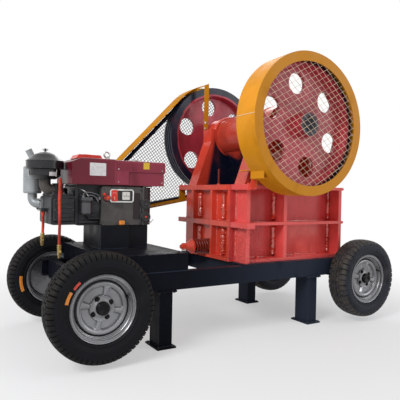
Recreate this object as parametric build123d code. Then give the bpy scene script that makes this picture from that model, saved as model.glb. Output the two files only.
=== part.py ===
"""Mobile jaw crusher: a welded crusher and a single-cylinder diesel on a four-wheel frame.

Sizes are in millimetres. While the pieces are made, x = 0 is the front axle, y = 0 the middle of
the frame and z = 0 the floor under the four fixed legs. +X points from the engine to the crusher,
-Y is the side of the round flywheel guard. At the end everything moves so that x and y are
measured from the middle of the whole machine.
"""
from build123d import *
import os
from math import asin, atan2, cos, degrees, hypot, pi, radians, sin, sqrt, tan

os.makedirs("parts", exist_ok=True)

# Frame
rail_bottom = 323.0          # underside of the long rails above the floor
rail_height = 103.0
rail_flange = 50.0
rail_web = 7.0
rail_outside = 400.0         # outer face of a rail from the middle
rail_front = -80.0
rail_past_axle = 151.0       # rails behind the rear axle
cross_width = 50.0
weld_gap = 0.1
strip_thick = 6.0            # flat strips between the crusher and the frame
strip_inside = 262.0

# Fixed legs
leg_behind_axle = 415.0      # front legs behind the front axle
leg_before_axle = 374.0      # rear legs before the rear axle
leg_middle = 330.0           # middle of a leg from the middle of the frame
leg_width = 80.0
leg_depth = 120.0
leg_wall = 6.0
foot_width = 115.0
foot_depth = 160.0
foot_thick = 10.0

# Axles and wheels
wheelbase = 1909.0
axle_bar = 50.0
axle_bar_half = 380.0
spindle_radius = 19.0
wheel_middle = 486.0         # middle of a wheel from the middle of the frame
front_tyre_radius = 275.0
rear_tyre_radius = 267.0
front_tyre_width = 146.0
rear_tyre_width = 152.0
rim_seat_radius = 152.0
rim_flange_radius = 168.0
rim_half_width = 53.0
rim_plate = 5.0
hub_radius = 44.0
hub_cap_radius = 33.0
hub_cap_out = 60.0
bead_gap = 0.3
running_gap = 0.3

# Engine bed and stand
bed_front = 60.0
bed_back = 547.0
bed_height = 100.0
bed_plate = 8.0
stand_front = 150.0
stand_step = 325.0
stand_back = 470.0
stand_near = -60.0
stand_far = 270.0
stand_height = 139.0
stand_inset = 45.0

# Crusher box
crusher_front = 939.0
crusher_length = 931.0
crusher_height = 495.0
middle_bar_low = 222.0       # underside of the middle bar above the crusher's bottom
bar_thick = 34.0
flange_thick = 20.0
wall_inside = 221.0
wall_thick = 22.0
flange_reach = 346.0         # edge of the side flanges from the middle
end_wall_thick = 22.0
front_wall_set_back = 46.0
back_wall_set_back = 24.0
ear_depth = 61.0
ear_reach = 428.0
post_set_back = 37.0
post_reach = 372.0
rib_thick = 28.0
rib_places = (1322.0, 1842.0)

# Uprights and bearings
shaft_x = 1283.0
shaft_z = 1302.0
upright_inside = 236.0
upright_width = 110.0
upright_plate = 16.0
upright_front = 976.0
upright_lean = 124.0
upright_knee = 1258.0
upright_top = 1350.0
bearing_radius = 150.0
bearing_cover_radius = 105.0
bearing_cover_out = 392.0

# Eccentric shaft and the two big wheels
journal_radius = 55.0
eccentric_radius = 62.0
throw = 8.0
shaft_end_radius = 45.0
shaft_half = 590.0
wheel_inner_face = 440.0
flywheel_radius = 405.0
flywheel_rim_inner = 365.0
flywheel_width = 115.0
sheave_radius = 412.0
sheave_rim_inner = 348.0
sheave_width = 118.0
web_thick = 24.0
web_set = 50.0               # rim face to web face, on the side towards the crusher
big_hub_radius = 72.0
big_hub_end = 587.0
hole_circle = 262.0
hole_radius = 66.0
hole_count = 6
hole_phase = 40.0

# Belts
belt_count = 3
belt_pitch = 30.0
belt_top_width = 17.0
belt_thick = 12.0
belt_slope = 0.33
groove_gap = 0.8

# Swing jaw and chamber
head_radius = 148.0
head_half = 214.0
jaw_half = 196.0
jaw_plate_thick = 40.0
fixed_plate_thick = 50.0
cheek_thick = 20.0
tooth_pitch = 40.0
tooth_depth = 12.0
chamber_bottom = 470.0
chamber_top = 905.0
feed_gape = 250.0            # between the toothed plates at the top
discharge_gap = 42.0         # and at the bottom
jaw_depth = 190.0            # the foot of the swing jaw, front to back
toggle_round = 12.0          # half the thickness of the toggle plate
toggle_half = 170.0
seat_reach = 230.0           # toggle seat, from the end wall towards the swing jaw
seat_toggle_z = 590.0
jaw_toggle_z = 540.0

# Tension rod
rod_y = 45.0
rod_z = 506.0
rod_radius = 13.0
spring_radius = 42.0
spring_wire = 8.0
spring_turns = 6.5
spring_free_length = 150.0

# Flywheel guard
guard_x = 1283.0
guard_z = 1302.0
guard_radius = 440.0
guard_opening = 380.0
guard_sheet = 4.0
guard_front = -603.0
guard_depth = 176.0
bracket_thick = 6.0
mesh_wire = 3.0
mesh_pitch = 62.0

# Engine pulley and belt guard
pulley_x = 396.0
pulley_z = 821.0
pulley_radius = 100.0
pulley_hub_radius = 70.0
belt_guard_big = 437.0
belt_guard_small = 128.0
belt_guard_near = 455.0
belt_guard_far = 600.0
belt_guard_sheet = 4.0
belt_guard_rim = 28.0
belt_guard_end_x = 1160.0
strap_width = 38.0
strap_thick = 6.0

# Engine
engine_near = -60.0
engine_far = 250.0
cover_left = 150.0
cover_right = 406.0
column_right = 470.0
block_left = 15.0
block_near = -18.0
block_top = 900.0
head_left = -130.0
head_top = 834.0
hood_left = -29.0
hood_right = 560.0
hood_step = 232.0
hood_bottom = 905.0
hood_top = 1058.0
cleaner_x = -140.0
cleaner_y = 92.0
cleaner_radius = 106.0
cleaner_bottom = 930.0
muffler_x = -173.0
muffler_y = 264.0
muffler_radius = 54.0
elbow_z = 869.0
elbow_radius = 33.0
inlet_x = -90.0
engine_wheel_radius = 215.0
engine_wheel_near = 280.0
engine_wheel_width = 66.0

# Battery cables, as the points their straight runs meet at
cable_radius = 8.0
long_cable = [(-60, 44, 844), (-60, 44, 892), (-74, 5, 930), (-90, -50, 929), (-100, -89, 890),
              (-103, -94, 798), (-99, -93, 700), (-101, -94, 610), (-100, -93, 560)]
short_cable = [(-146, 100, 742), (-146, 100, 700), (-144, 100, 655), (-147, 99, 612)]
lug_radius = 12.0
lug_length = 24.0

rail_back = wheelbase + rail_past_axle
leg_places = (leg_behind_axle, wheelbase - leg_before_axle)
cross_places = (-50.0, leg_places[0] - cross_width / 2, 975.0, leg_places[1] - cross_width / 2,
                1815.0, rail_back - cross_width - 5)
rail_top = rail_bottom + rail_height
crusher_bottom = rail_top + strip_thick
crusher_top = crusher_bottom + crusher_height
crusher_back = crusher_front + crusher_length
wall_outside = wall_inside + wall_thick
middle_bar = crusher_bottom + middle_bar_low
front_wall = crusher_front + front_wall_set_back
back_wall = crusher_back - back_wall_set_back
fixed_face = back_wall - end_wall_thick - fixed_plate_thick
nip_angle = atan2(feed_gape - discharge_gap, chamber_top - chamber_bottom)
plate_cover = jaw_plate_thick / cos(nip_angle)
jaw_top_x = fixed_face - feed_gape - plate_cover
jaw_foot_x = fixed_face - discharge_gap - plate_cover
jaw_back_x = jaw_foot_x - jaw_depth
upright_outside = upright_inside + upright_width
bed_top = rail_top + bed_height
stand_top = bed_top + stand_height
axle_z = rail_bottom - axle_bar / 2
belt_middle = wheel_inner_face + sheave_width / 2
pieces = {}


def span(x, y, z):
    """A block between two limits along each axis."""
    size = [high - low for low, high in (x, y, z)]
    middle = [(high + low) / 2 for low, high in (x, y, z)]
    return Pos(*middle) * Box(*size)


def both(side, inner, outer):
    """The y limits of something on one side of the middle."""
    return tuple(sorted((side * inner, side * outer)))


def plate_y(points, low, high):
    """A plate with an outline in x and z, between two y limits."""
    outline = Polyline(*[(x, low, z) for x, z in points], close=True)
    return extrude(make_face(outline), amount=high - low, dir=(0, 1, 0))


def plate_z(points, low, high):
    """A plate with an outline in x and y, between two heights."""
    outline = Polyline(*[(x, y, low) for x, y in points], close=True)
    return extrude(make_face(outline), amount=high - low, dir=(0, 0, 1))


def round_y(x, z, radius, low, high):
    """A round bar along y."""
    return Pos(x, (low + high) / 2, z) * Rot(90, 0, 0) * Cylinder(radius, high - low)


def round_x(y, z, radius, low, high):
    """A round bar along x."""
    return Pos((low + high) / 2, y, z) * Rot(0, 90, 0) * Cylinder(radius, high - low)


def round_z(x, y, radius, low, high):
    """A round bar along z."""
    return Pos(x, y, (low + high) / 2) * Cylinder(radius, high - low)


def turned(profile, x, z):
    """A body turned about an axis along y, from (y, radius) points."""
    outline = Polyline(*[(radius, y, 0) for y, radius in profile], close=True)
    body = revolve(make_face(outline), axis=Axis.Y, revolution_arc=360)
    return Pos(x, 0, z) * body


def channel_y(x, y, z):
    """A channel along y, open towards +X."""
    pocket = span((x[0] + rail_web, x[1] + 1), y, (z[0] + rail_web, z[1] - rail_web))
    return span(x, y, z) - pocket


def side_rail(side):
    """A long channel rail, its open side towards the middle, with the strip under the crusher."""
    inner = rail_outside - rail_flange
    body = span((rail_front, rail_back), both(side, inner, rail_outside), (rail_bottom, rail_top))
    pocket_y = both(side, inner - 1, rail_outside - rail_web)
    pocket_z = (rail_bottom + rail_web, rail_top - rail_web)
    body -= span((rail_front - 1, rail_back + 1), pocket_y, pocket_z)
    strip_x = (crusher_front + 10, crusher_back - 5)
    return body + span(strip_x, both(side, strip_inside, rail_outside - 8), (rail_top, crusher_bottom))


def cross_member(place):
    """A channel between the two rails."""
    half = rail_outside - rail_flange - weld_gap
    return channel_y((place, place + cross_width), (-half, half), (rail_bottom, rail_top))


def leg(place, side):
    """A box leg with a foot plate and a top plate under the rail."""
    middle = side * leg_middle
    foot_x = (place - foot_width / 2, place + foot_width / 2)
    foot_y = (middle - foot_depth / 2, middle + foot_depth / 2)
    post_x = (place - leg_width / 2, place + leg_width / 2)
    post_y = (middle - leg_depth / 2, middle + leg_depth / 2)
    low = foot_thick
    high = rail_bottom - foot_thick
    post = span(post_x, post_y, (low, high))
    post -= span((post_x[0] + leg_wall, post_x[1] - leg_wall),
                 (post_y[0] + leg_wall, post_y[1] - leg_wall), (low + leg_wall, high - leg_wall))
    return post + span(foot_x, foot_y, (0, foot_thick)) + span(foot_x, foot_y, (high, rail_bottom))


def axle(place):
    """A square axle bar under the rails with a turned spindle at each end."""
    bar_x = (place - axle_bar / 2, place + axle_bar / 2)
    body = span(bar_x, (-axle_bar_half, axle_bar_half), (axle_z - axle_bar / 2, rail_bottom))
    end = wheel_middle + hub_cap_out - 12
    return body + round_y(place, axle_z, spindle_radius, -end, end)


def rim(place, side):
    """A pressed steel rim with its plate, hub and cap, in one turned body with four bolt bosses."""
    out = side
    seat = rim_seat_radius
    well = seat - rim_plate
    edge = rim_half_width

    def at(offset):
        return side * wheel_middle + out * offset

    barrel = [(at(-edge - 5), rim_flange_radius), (at(-edge), rim_flange_radius), (at(-edge), seat),
              (at(edge), seat), (at(edge), rim_flange_radius), (at(edge + 5), rim_flange_radius),
              (at(edge + 5), well), (at(-edge - 5), well)]
    bore = spindle_radius + running_gap
    dish = [(at(6), well), (at(14), well), (at(30), 118), (at(30), 88), (at(20), 66),
            (at(20), bore), (at(-20), bore), (at(-20), hub_radius), (at(10), hub_radius),
            (at(12), 64), (at(22), 86), (at(22), 114)]
    cap = [(at(20), hub_cap_radius), (at(hub_cap_out - 8), hub_cap_radius),
           (at(hub_cap_out), hub_cap_radius - 10), (at(hub_cap_out), 0),
           (at(hub_cap_out - 8), 0), (at(hub_cap_out - 8), bore), (at(20), bore)]
    body = turned(barrel, place, axle_z) + turned(dish, place, axle_z) + turned(cap, place, axle_z)
    return body


def tyre(place, side, radius, width):
    """A tyre around its rim, with shoulder lugs cut by radial notches."""
    middle = side * wheel_middle
    inner = rim_seat_radius + bead_gap
    lip = rim_flange_radius + bead_gap
    bead = rim_half_width - bead_gap
    half = width / 2
    right = [(bead, inner), (bead, lip), (half - 6, lip + 20), (half, lip + 52),
             (half - 3, radius - 24), (half - 16, radius - 5), (half - 30, radius)]
    profile = [(middle + y, r) for y, r in right] + [(middle - y, r) for y, r in reversed(right)]
    return turned(profile, place, axle_z)


def engine_bed():
    """A folded deck, open below, that stands on both rails and carries the engine."""
    outer = span((bed_front, bed_back), (-rail_outside, rail_outside), (rail_top, bed_top))
    inner = span((bed_front + bed_plate, bed_back - bed_plate),
                 (-rail_outside + bed_plate, rail_outside - bed_plate),
                 (rail_top - 1, bed_top - bed_plate))
    return outer - inner


def engine_stand():
    """The welded box between the deck and the engine, its back end set in on the near side."""
    outline = [(stand_front, stand_near), (stand_step, stand_near),
               (stand_step, stand_near + stand_inset), (stand_back, stand_near + stand_inset),
               (stand_back, stand_far), (stand_front, stand_far)]
    body = plate_z(outline, bed_top, stand_top)
    pocket = offset(body.faces().sort_by(Axis.Z)[0], amount=-bed_plate)
    return body - extrude(pocket, amount=stand_height - bed_plate, dir=(0, 0, 1))


def side_frame(side):
    """One side of the crusher box: its wall, three long flanges, a front post and two ribs."""
    body = span((front_wall, back_wall), both(side, wall_inside, wall_outside),
                (crusher_bottom, crusher_top))
    ear_end = crusher_front + ear_depth
    middle_top = middle_bar + bar_thick
    body += span((crusher_front + post_set_back, crusher_back), both(side, wall_outside, flange_reach),
                 (crusher_bottom, crusher_bottom + flange_thick))
    for top in (middle_top, crusher_top):
        body += span((ear_end, crusher_back), both(side, wall_outside, flange_reach),
                     (top - flange_thick, top))
    post_x = (crusher_front + post_set_back, crusher_front + post_set_back + rib_thick)
    for low, high in ((crusher_bottom, middle_bar), (middle_top, crusher_top - bar_thick)):
        body += span(post_x, both(side, wall_outside, post_reach), (low, high))
    for low, high in ((crusher_bottom, middle_top), (middle_top, crusher_top)):
        for place in rib_places:
            limits = (place - rib_thick / 2, place + rib_thick / 2)
            body += span(limits, both(side, wall_outside, flange_reach - 3), (low, high))
    return body


def toggle_end_wall():
    """The end of the crusher towards the engine: wall, upright ribs and the wide cross bars."""
    body = span((front_wall, front_wall + end_wall_thick), (-wall_inside, wall_inside),
                (crusher_bottom, crusher_top))
    body += span((crusher_front, front_wall), (-wall_outside, wall_outside),
                 (crusher_bottom, crusher_bottom + flange_thick))
    for low in (middle_bar, crusher_top - bar_thick):
        body += span((crusher_front, front_wall), (-ear_reach, ear_reach), (low, low + bar_thick))
        for side in (-1, 1):
            body += span((crusher_front, crusher_front + ear_depth),
                         both(side, wall_outside, ear_reach), (low, low + bar_thick))
    body += span((crusher_front + 3, front_wall), (-31, -9), (crusher_bottom, crusher_top))
    for side in (-1, 1):
        body += span((crusher_front + 3, front_wall), both(side, wall_outside - rib_thick, wall_outside - 1),
                     (crusher_bottom, crusher_top))
    hole = round_x(rod_y, rod_z, rod_radius + 7, front_wall - 1, front_wall + end_wall_thick + 1)
    return body - hole


def fixed_jaw_wall():
    """The high end of the crusher that backs the fixed jaw plate."""
    body = span((back_wall - end_wall_thick, back_wall), (-wall_inside, wall_inside),
                (crusher_bottom, crusher_top))
    for low in (crusher_bottom, middle_bar + bar_thick - flange_thick, crusher_top - flange_thick):
        body += span((back_wall, crusher_back), (-wall_outside, wall_outside),
                     (low, low + flange_thick))
    for middle in (-150, 0, 150):
        body += span((back_wall, crusher_back - 3), (middle - 11, middle + 11),
                     (crusher_bottom, crusher_top))
    return body


def upright(side):
    """A boxed upright on the top flange, with sloping end strips, that carries a bearing."""
    front = upright_front
    mirror = 2 * shaft_x - front
    outline = [(front, crusher_top), (front + upright_lean, upright_knee),
               (front + upright_lean, upright_top), (mirror - upright_lean, upright_top),
               (mirror - upright_lean, upright_knee), (mirror, crusher_top)]
    body = plate_y(outline, *both(side, upright_inside, upright_outside))
    rib = upright_plate
    slim = [(front + 2 * rib, crusher_top + rib), (front + upright_lean + rib, upright_knee),
            (front + upright_lean + rib, upright_top - rib),
            (mirror - upright_lean - rib, upright_top - rib),
            (mirror - upright_lean - rib, upright_knee), (mirror - 2 * rib, crusher_top + rib)]
    body -= plate_y(slim, *both(side, upright_inside + rib, upright_outside + 1))
    return body - round_y(shaft_x, shaft_z, bearing_radius,
                          *both(side, upright_inside - 1, upright_outside + 1))


def bearing(side):
    """A round bearing housing through the upright, with its cover."""
    outer = upright_outside + 20
    cut = journal_radius + running_gap
    body = round_y(shaft_x, shaft_z, bearing_radius, *both(side, upright_inside - 2, outer))
    body += round_y(shaft_x, shaft_z, bearing_cover_radius, *both(side, outer, bearing_cover_out))
    return body - round_y(shaft_x, shaft_z, cut, *both(side, upright_inside - 3, bearing_cover_out + 1))


def swing_jaw():
    """The swing jaw: a round head on the eccentric and a body that tapers to the foot."""
    outline = [(shaft_x + head_radius * 0.9, shaft_z - head_radius * 0.3), (jaw_top_x, chamber_top),
               (jaw_foot_x, chamber_bottom), (jaw_foot_x - 12, chamber_bottom - 18),
               (jaw_back_x + 30, chamber_bottom - 18), (jaw_back_x, chamber_bottom + 12),
               (jaw_back_x, jaw_toggle_z + 60), (jaw_top_x - 130, chamber_top + 60),
               (shaft_x - head_radius * 0.55, shaft_z - head_radius * 0.82)]
    body = plate_y(outline, -jaw_half, jaw_half)
    body += round_y(shaft_x, shaft_z, head_radius, -head_half, head_half)
    bore = eccentric_radius + throw + 1
    body -= round_y(shaft_x, shaft_z, bore, -head_half - 1, head_half + 1)
    groove = round_y(jaw_back_x + 4, jaw_toggle_z, toggle_round + running_gap, -jaw_half - 1, jaw_half + 1)
    mouth = span((jaw_back_x - 1, jaw_back_x + 4), (-jaw_half - 1, jaw_half + 1),
                 (jaw_toggle_z - toggle_round - 4, jaw_toggle_z + toggle_round + 4))
    return body - groove - mouth


def jaw_plate(bottom, top, thick, teeth_side):
    """A toothed plate standing on two points of a line, as wide as the chamber."""
    length = hypot(top[0] - bottom[0], top[1] - bottom[1])
    body = span((0, thick - tooth_depth), (-jaw_half, jaw_half), (0, length))
    half = tooth_pitch / 2
    count = int(2 * jaw_half // tooth_pitch)
    start = -count * half
    for number in range(count):
        low = start + number * tooth_pitch
        ridge = Polyline((thick - tooth_depth, low + 3, 0), (thick, low + half - 5, 0),
                         (thick, low + half + 5, 0), (thick - tooth_depth, low + tooth_pitch - 3, 0),
                         close=True)
        body += extrude(make_face(ridge), amount=length, dir=(0, 0, 1))
    lean = degrees(atan2(top[0] - bottom[0], top[1] - bottom[1]))
    if teeth_side < 0:
        body = body.rotate(Axis.Z, 180)
    return Pos(bottom[0], 0, bottom[1]) * Rot(0, lean, 0) * body


def swing_jaw_plate():
    """The toothed plate on the swing jaw."""
    lower = (jaw_foot_x - 8 * tan(nip_angle), chamber_bottom + 8)
    upper = (jaw_top_x + 30 * tan(nip_angle), chamber_top - 30)
    return jaw_plate(lower, upper, jaw_plate_thick, 1)


def fixed_jaw_plate():
    """The toothed plate on the fixed wall."""
    face = back_wall - end_wall_thick
    return jaw_plate((face, chamber_bottom), (face, chamber_top), fixed_plate_thick, -1)


def cheek_plates():
    """The wear plates on both side walls of the chamber."""
    face = back_wall - end_wall_thick
    outline = [(face, chamber_bottom), (face, chamber_top), (jaw_top_x + 20, chamber_top),
               (jaw_foot_x + 20, chamber_bottom)]
    return [plate_y(outline, *both(side, wall_inside - cheek_thick, wall_inside)) for side in (-1, 1)]


def toggle_seat():
    """The guided block with its packing plates behind the toggle plate."""
    face = front_wall + end_wall_thick
    middle = seat_toggle_z
    body = span((face, face + 60), (-wall_inside, wall_inside), (middle - 50, middle + 50))
    for place in (60, 72, 84):
        body += span((face + place, face + place + 10), (-150, 150), (middle - 45, middle + 45))
    body += span((face + 60, face + seat_reach), (-wall_inside, wall_inside), (middle - 32, middle + 32))
    groove = round_y(face + seat_reach - 4, middle, toggle_round + running_gap,
                     -wall_inside - 1, wall_inside + 1)
    mouth = span((face + seat_reach - 4, face + seat_reach + 1), (-wall_inside - 1, wall_inside + 1),
                 (middle - toggle_round - 4, middle + toggle_round + 4))
    return body - groove - mouth


def toggle_plate():
    """The toggle plate between the seat and the foot of the swing jaw, with round ends."""
    start = (front_wall + end_wall_thick + seat_reach - 4, seat_toggle_z)
    end = (jaw_back_x + 4, jaw_toggle_z)
    length = hypot(end[0] - start[0], end[1] - start[1])
    lean = degrees(atan2(start[1] - end[1], end[0] - start[0]))
    body = span((0, length), (-toggle_half, toggle_half), (-toggle_round, toggle_round))
    for place in (0, length):
        body += round_y(place, 0, toggle_round, -toggle_half, toggle_half)
    return Pos(start[0], 0, start[1]) * Rot(0, lean, 0) * body


def tension_rod():
    """The rod from the swing jaw's foot through the end wall, with a cone nut outside."""
    washer = front_wall - spring_free_length
    body = round_x(rod_y, rod_z, rod_radius, washer - 90, jaw_back_x)
    body += round_x(rod_y, rod_z, rod_radius + 8, jaw_back_x - 24, jaw_back_x)
    body += round_x(rod_y, rod_z, spring_radius + spring_wire, washer - 8, washer)
    cone = Pos(washer - 8, rod_y, rod_z) * Rot(0, -90, 0) * Cone(spring_radius, 20, 45,
        align=(Align.CENTER, Align.CENTER, Align.MIN))
    body += cone
    body += Pos(washer - 65, rod_y, rod_z) * Rot(0, 90, 0) * extrude(RegularPolygon(24, 6), 12, both=True)
    return body


def tension_spring():
    """The coil spring between the end wall and the cone nut."""
    length = spring_free_length - 2 * spring_wire - 1
    path = Helix(pitch=length / spring_turns, height=length, radius=spring_radius)
    start = path @ 0
    section = Plane(origin=start, z_dir=path % 0) * Circle(spring_wire)
    coil = sweep(section, path=path, is_frenet=True)
    place = front_wall - spring_free_length + spring_wire + 0.5
    return Pos(place, rod_y, rod_z) * Rot(0, 90, 0) * coil


def eccentric_shaft():
    """The shaft with an eccentric middle, two journals and two keyed ends."""
    body = round_y(shaft_x, shaft_z, journal_radius, -wheel_inner_face, wheel_inner_face)
    body += round_y(shaft_x, shaft_z, shaft_end_radius, -shaft_half, shaft_half)
    reach = upright_inside - 8
    body += round_y(shaft_x + throw, shaft_z, eccentric_radius, -reach, reach)
    return body


def wheel_holes(low, high):
    """The round holes through the web of a big wheel."""
    holes = []
    for number in range(hole_count):
        turn = radians(hole_phase + number * 360 / hole_count)
        place = (shaft_x + hole_circle * cos(turn), shaft_z + hole_circle * sin(turn))
        holes.append(round_y(place[0], place[1], hole_radius, low, high))
    return holes


def big_wheel(side, radius, rim_inner, width):
    """A cast wheel with a rim, a web with round holes and a long hub."""
    inner = wheel_inner_face
    web = inner + web_set
    profile = [(inner, rim_inner), (inner, radius), (inner + width, radius),
               (inner + width, rim_inner), (web + web_thick, rim_inner - 12),
               (web + web_thick, big_hub_radius + 10), (big_hub_end, big_hub_radius),
               (big_hub_end, shaft_end_radius), (inner, shaft_end_radius),
               (inner, big_hub_radius + 6), (web, big_hub_radius + 16), (web, rim_inner - 12)]
    body = turned([(side * y, r) for y, r in profile], shaft_x, shaft_z)
    for hole in wheel_holes(*both(side, web - 1, web + web_thick + 1)):
        body -= hole
    return body


def belt_places():
    """The y of each belt's middle."""
    first = belt_middle - (belt_count - 1) * belt_pitch / 2
    return [first + number * belt_pitch for number in range(belt_count)]


def grooves(radius, x, z):
    """The V grooves to cut from a rim, a little wider than the belts."""
    cuts = []
    deep = belt_thick + 3
    top = belt_top_width / 2 + groove_gap
    bottom = top - deep * belt_slope
    for y in belt_places():
        cuts.append(turned([(y - top - belt_slope, radius + 1), (y + top + belt_slope, radius + 1),
                            (y + bottom, radius - deep), (y - bottom, radius - deep)], x, z))
    return cuts


def sheave():
    """The belt-side wheel: a big wheel with V grooves in its rim."""
    body = big_wheel(1, sheave_radius, sheave_rim_inner, sheave_width)
    for cut in grooves(sheave_radius, shaft_x, shaft_z):
        body -= cut
    return body


def engine_pulley():
    """The grooved pulley and its long hub on the engine's flywheel."""
    low = engine_wheel_near + engine_wheel_width
    high = wheel_inner_face + sheave_width
    body = round_y(pulley_x, pulley_z, pulley_hub_radius, low, high)
    body += round_y(pulley_x, pulley_z, pulley_radius, belt_middle - 52, high)
    body -= round_y(pulley_x, pulley_z, pulley_hub_radius - 22, high - 40, high + 1)
    for cut in grooves(pulley_radius, pulley_x, pulley_z):
        body -= cut
    return body


def engine_wheel():
    """The engine's own flywheel with its rim, on the belt side."""
    low = engine_wheel_near
    high = low + engine_wheel_width
    profile = [(low, 60), (low, 150), (low + 20, 165), (low, 180), (low, engine_wheel_radius),
               (high, engine_wheel_radius), (high, 0), (low, 0)]
    body = turned(profile, pulley_x, pulley_z)
    body += round_y(pulley_x, pulley_z, 30, engine_far + 1, low)
    return body


def loop_edges(big, small, y):
    """The two arcs and two lines of a loop around the sheave's axis and the pulley's axis."""
    run_x = shaft_x - pulley_x
    run_z = shaft_z - pulley_z
    reach = hypot(run_x, run_z)
    along = atan2(run_z, run_x)
    open_angle = asin((big - small) / reach)
    up = along + pi / 2 + open_angle
    down = along - pi / 2 - open_angle

    def on(cx, cz, radius, turn):
        return (cx + radius * cos(turn), y, cz + radius * sin(turn))

    big_up = on(shaft_x, shaft_z, big, up)
    big_down = on(shaft_x, shaft_z, big, down)
    small_up = on(pulley_x, pulley_z, small, up)
    small_down = on(pulley_x, pulley_z, small, down)
    big_arc = ThreePointArc(big_down, on(shaft_x, shaft_z, big, along), big_up)
    small_arc = ThreePointArc(small_up, on(pulley_x, pulley_z, small, along + pi), small_down)
    return [big_arc, Line(big_up, small_up), small_arc, Line(small_down, big_down)]


def loop_face(big, small, y):
    """The face inside a loop."""
    return make_face(loop_edges(big, small, y))


def loop_ring(big, small, thick, low, high):
    """A closed strip of a given thickness along the loop."""
    outer = extrude(loop_face(big, small, low), amount=high - low, dir=(0, 1, 0))
    inner = extrude(loop_face(big - thick, small - thick, low - 1), amount=high - low + 2,
                    dir=(0, 1, 0))
    return outer - inner


def drive_belts():
    """The belts as closed V-section loops, each a little clear of its groove."""
    belts = []
    wide = belt_top_width / 2
    slim = wide - belt_thick * belt_slope
    for y in belt_places():
        edges = loop_edges(sheave_radius - 1, pulley_radius - 1, y)
        plane = Plane(origin=edges[0] @ 0, x_dir=(0, 1, 0), z_dir=edges[0] % 0)
        outline = Polyline((-wide, 0), (wide, 0), (slim, belt_thick), (-slim, belt_thick), close=True)
        section = plane * make_face(outline)
        belts.append(sweep(section, path=Wire([edge.edge() for edge in edges])))
    return belts


def flywheel_guard():
    """A round drum of sheet with a front ring, open towards the crusher, on two brackets."""
    front = guard_front
    back = guard_front + guard_depth
    body = round_y(guard_x, guard_z, guard_radius, front, back)
    body -= round_y(guard_x, guard_z, guard_radius - guard_sheet, front + guard_sheet, back + 1)
    body -= round_y(guard_x, guard_z, guard_opening, front - 1, back)
    tab_x = (guard_x - 352, guard_x - 262)
    tab = span(tab_x, (back - 1, -upright_outside), (1008, 1013))
    bracket = [(crusher_front + 5, crusher_top - bar_thick),
               (crusher_front + ear_depth, crusher_top - bar_thick),
               (guard_x - 277, guard_z - 327), (guard_x - 308, guard_z - 302)]
    bracket_low = min(back - 7, -ear_reach - bracket_thick)
    return body + tab + plate_y(bracket, bracket_low, -ear_reach)


def mesh_cells(cx, cz, radius):
    """The middles of the diamond gaps of a mesh that fit inside a circle, their size and turn."""
    gap = mesh_pitch - 2 * mesh_wire
    steps = int(radius // mesh_pitch) + 1
    turn = radians(38)
    cells = []
    for row in range(-steps, steps + 1):
        for column in range(-steps, steps + 1):
            u = (row + 0.5) * mesh_pitch
            v = (column + 0.5) * mesh_pitch
            if hypot(u, v) + gap * 0.72 < radius:
                middle = (cx + u * cos(turn) - v * sin(turn), cz + u * sin(turn) + v * cos(turn))
                cells.append(middle)
    return cells, gap, turn


def lattice(face, cells, gap, turn, low, high):
    """Cuts square gaps out of a face and gives it a thickness along y."""
    rings = []
    for cx, cz in cells:
        corners = []
        for quarter in range(4):
            angle = turn + pi / 4 + quarter * pi / 2
            reach = gap / sqrt(2)
            corners.append((cx + reach * cos(angle), low, cz + reach * sin(angle)))
        rings.append(Wire(Polyline(*corners, close=True).edges()))
    net = Face(face.face().outer_wire(), rings)
    return extrude(net, amount=high - low, dir=(0, 1, 0))


def flywheel_mesh():
    """The wire mesh behind the guard's front ring."""
    low = guard_front + guard_sheet
    high = low + 2 * mesh_wire
    radius = guard_radius - guard_sheet - 1
    cells, gap, turn = mesh_cells(guard_x, guard_z, guard_opening)
    disc = Pos(guard_x, low, guard_z) * Rot(90, 0, 0) * Circle(radius)
    return lattice(disc.face(), cells, gap, turn, low, high)


def inside_loop(point, big, small):
    """True where a point lies inside the loop around both axes."""
    run_x = shaft_x - pulley_x
    run_z = shaft_z - pulley_z
    reach = hypot(run_x, run_z)
    along = ((point[0] - pulley_x) * run_x + (point[1] - pulley_z) * run_z) / reach
    side = abs((point[1] - pulley_z) * run_x - (point[0] - pulley_x) * run_z) / reach
    tilt = asin((big - small) / reach)
    if hypot(point[0] - shaft_x, point[1] - shaft_z) < big:
        return True
    if hypot(point[0] - pulley_x, point[1] - pulley_z) < small:
        return True
    limit = (small + along * sin(tilt)) / cos(tilt)
    return 0 < along < reach and side < limit


def belt_guard_mesh():
    """The far face of the belt guard: a lattice in the outline of the loop."""
    low = belt_guard_far - 2 * mesh_wire
    gap = mesh_pitch - 2 * mesh_wire
    turn = radians(38)
    cells = []
    edge = belt_guard_rim + gap * 0.72
    for row in range(-20, 21):
        for column in range(-20, 21):
            u = (row + 0.5) * mesh_pitch
            v = (column + 0.5) * mesh_pitch
            point = (850 + u * cos(turn) - v * sin(turn), 1060 + u * sin(turn) + v * cos(turn))
            if inside_loop(point, belt_guard_big - edge, belt_guard_small - edge):
                cells.append(point)
    face = loop_face(belt_guard_big, belt_guard_small, low)
    return lattice(face, cells, gap, turn, low, belt_guard_far)


def belt_guard_band():
    """The sheet band over both belt runs and round the pulley, open at the crusher's end."""
    band = loop_ring(belt_guard_big, belt_guard_small, belt_guard_sheet, belt_guard_near,
                     belt_guard_far - 2 * mesh_wire)
    room = span((belt_guard_end_x, 2000), (belt_guard_near - 1, belt_guard_far + 1), (500, 2000))
    return band - room + belt_guard_strap() + belt_guard_bracket()


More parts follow.
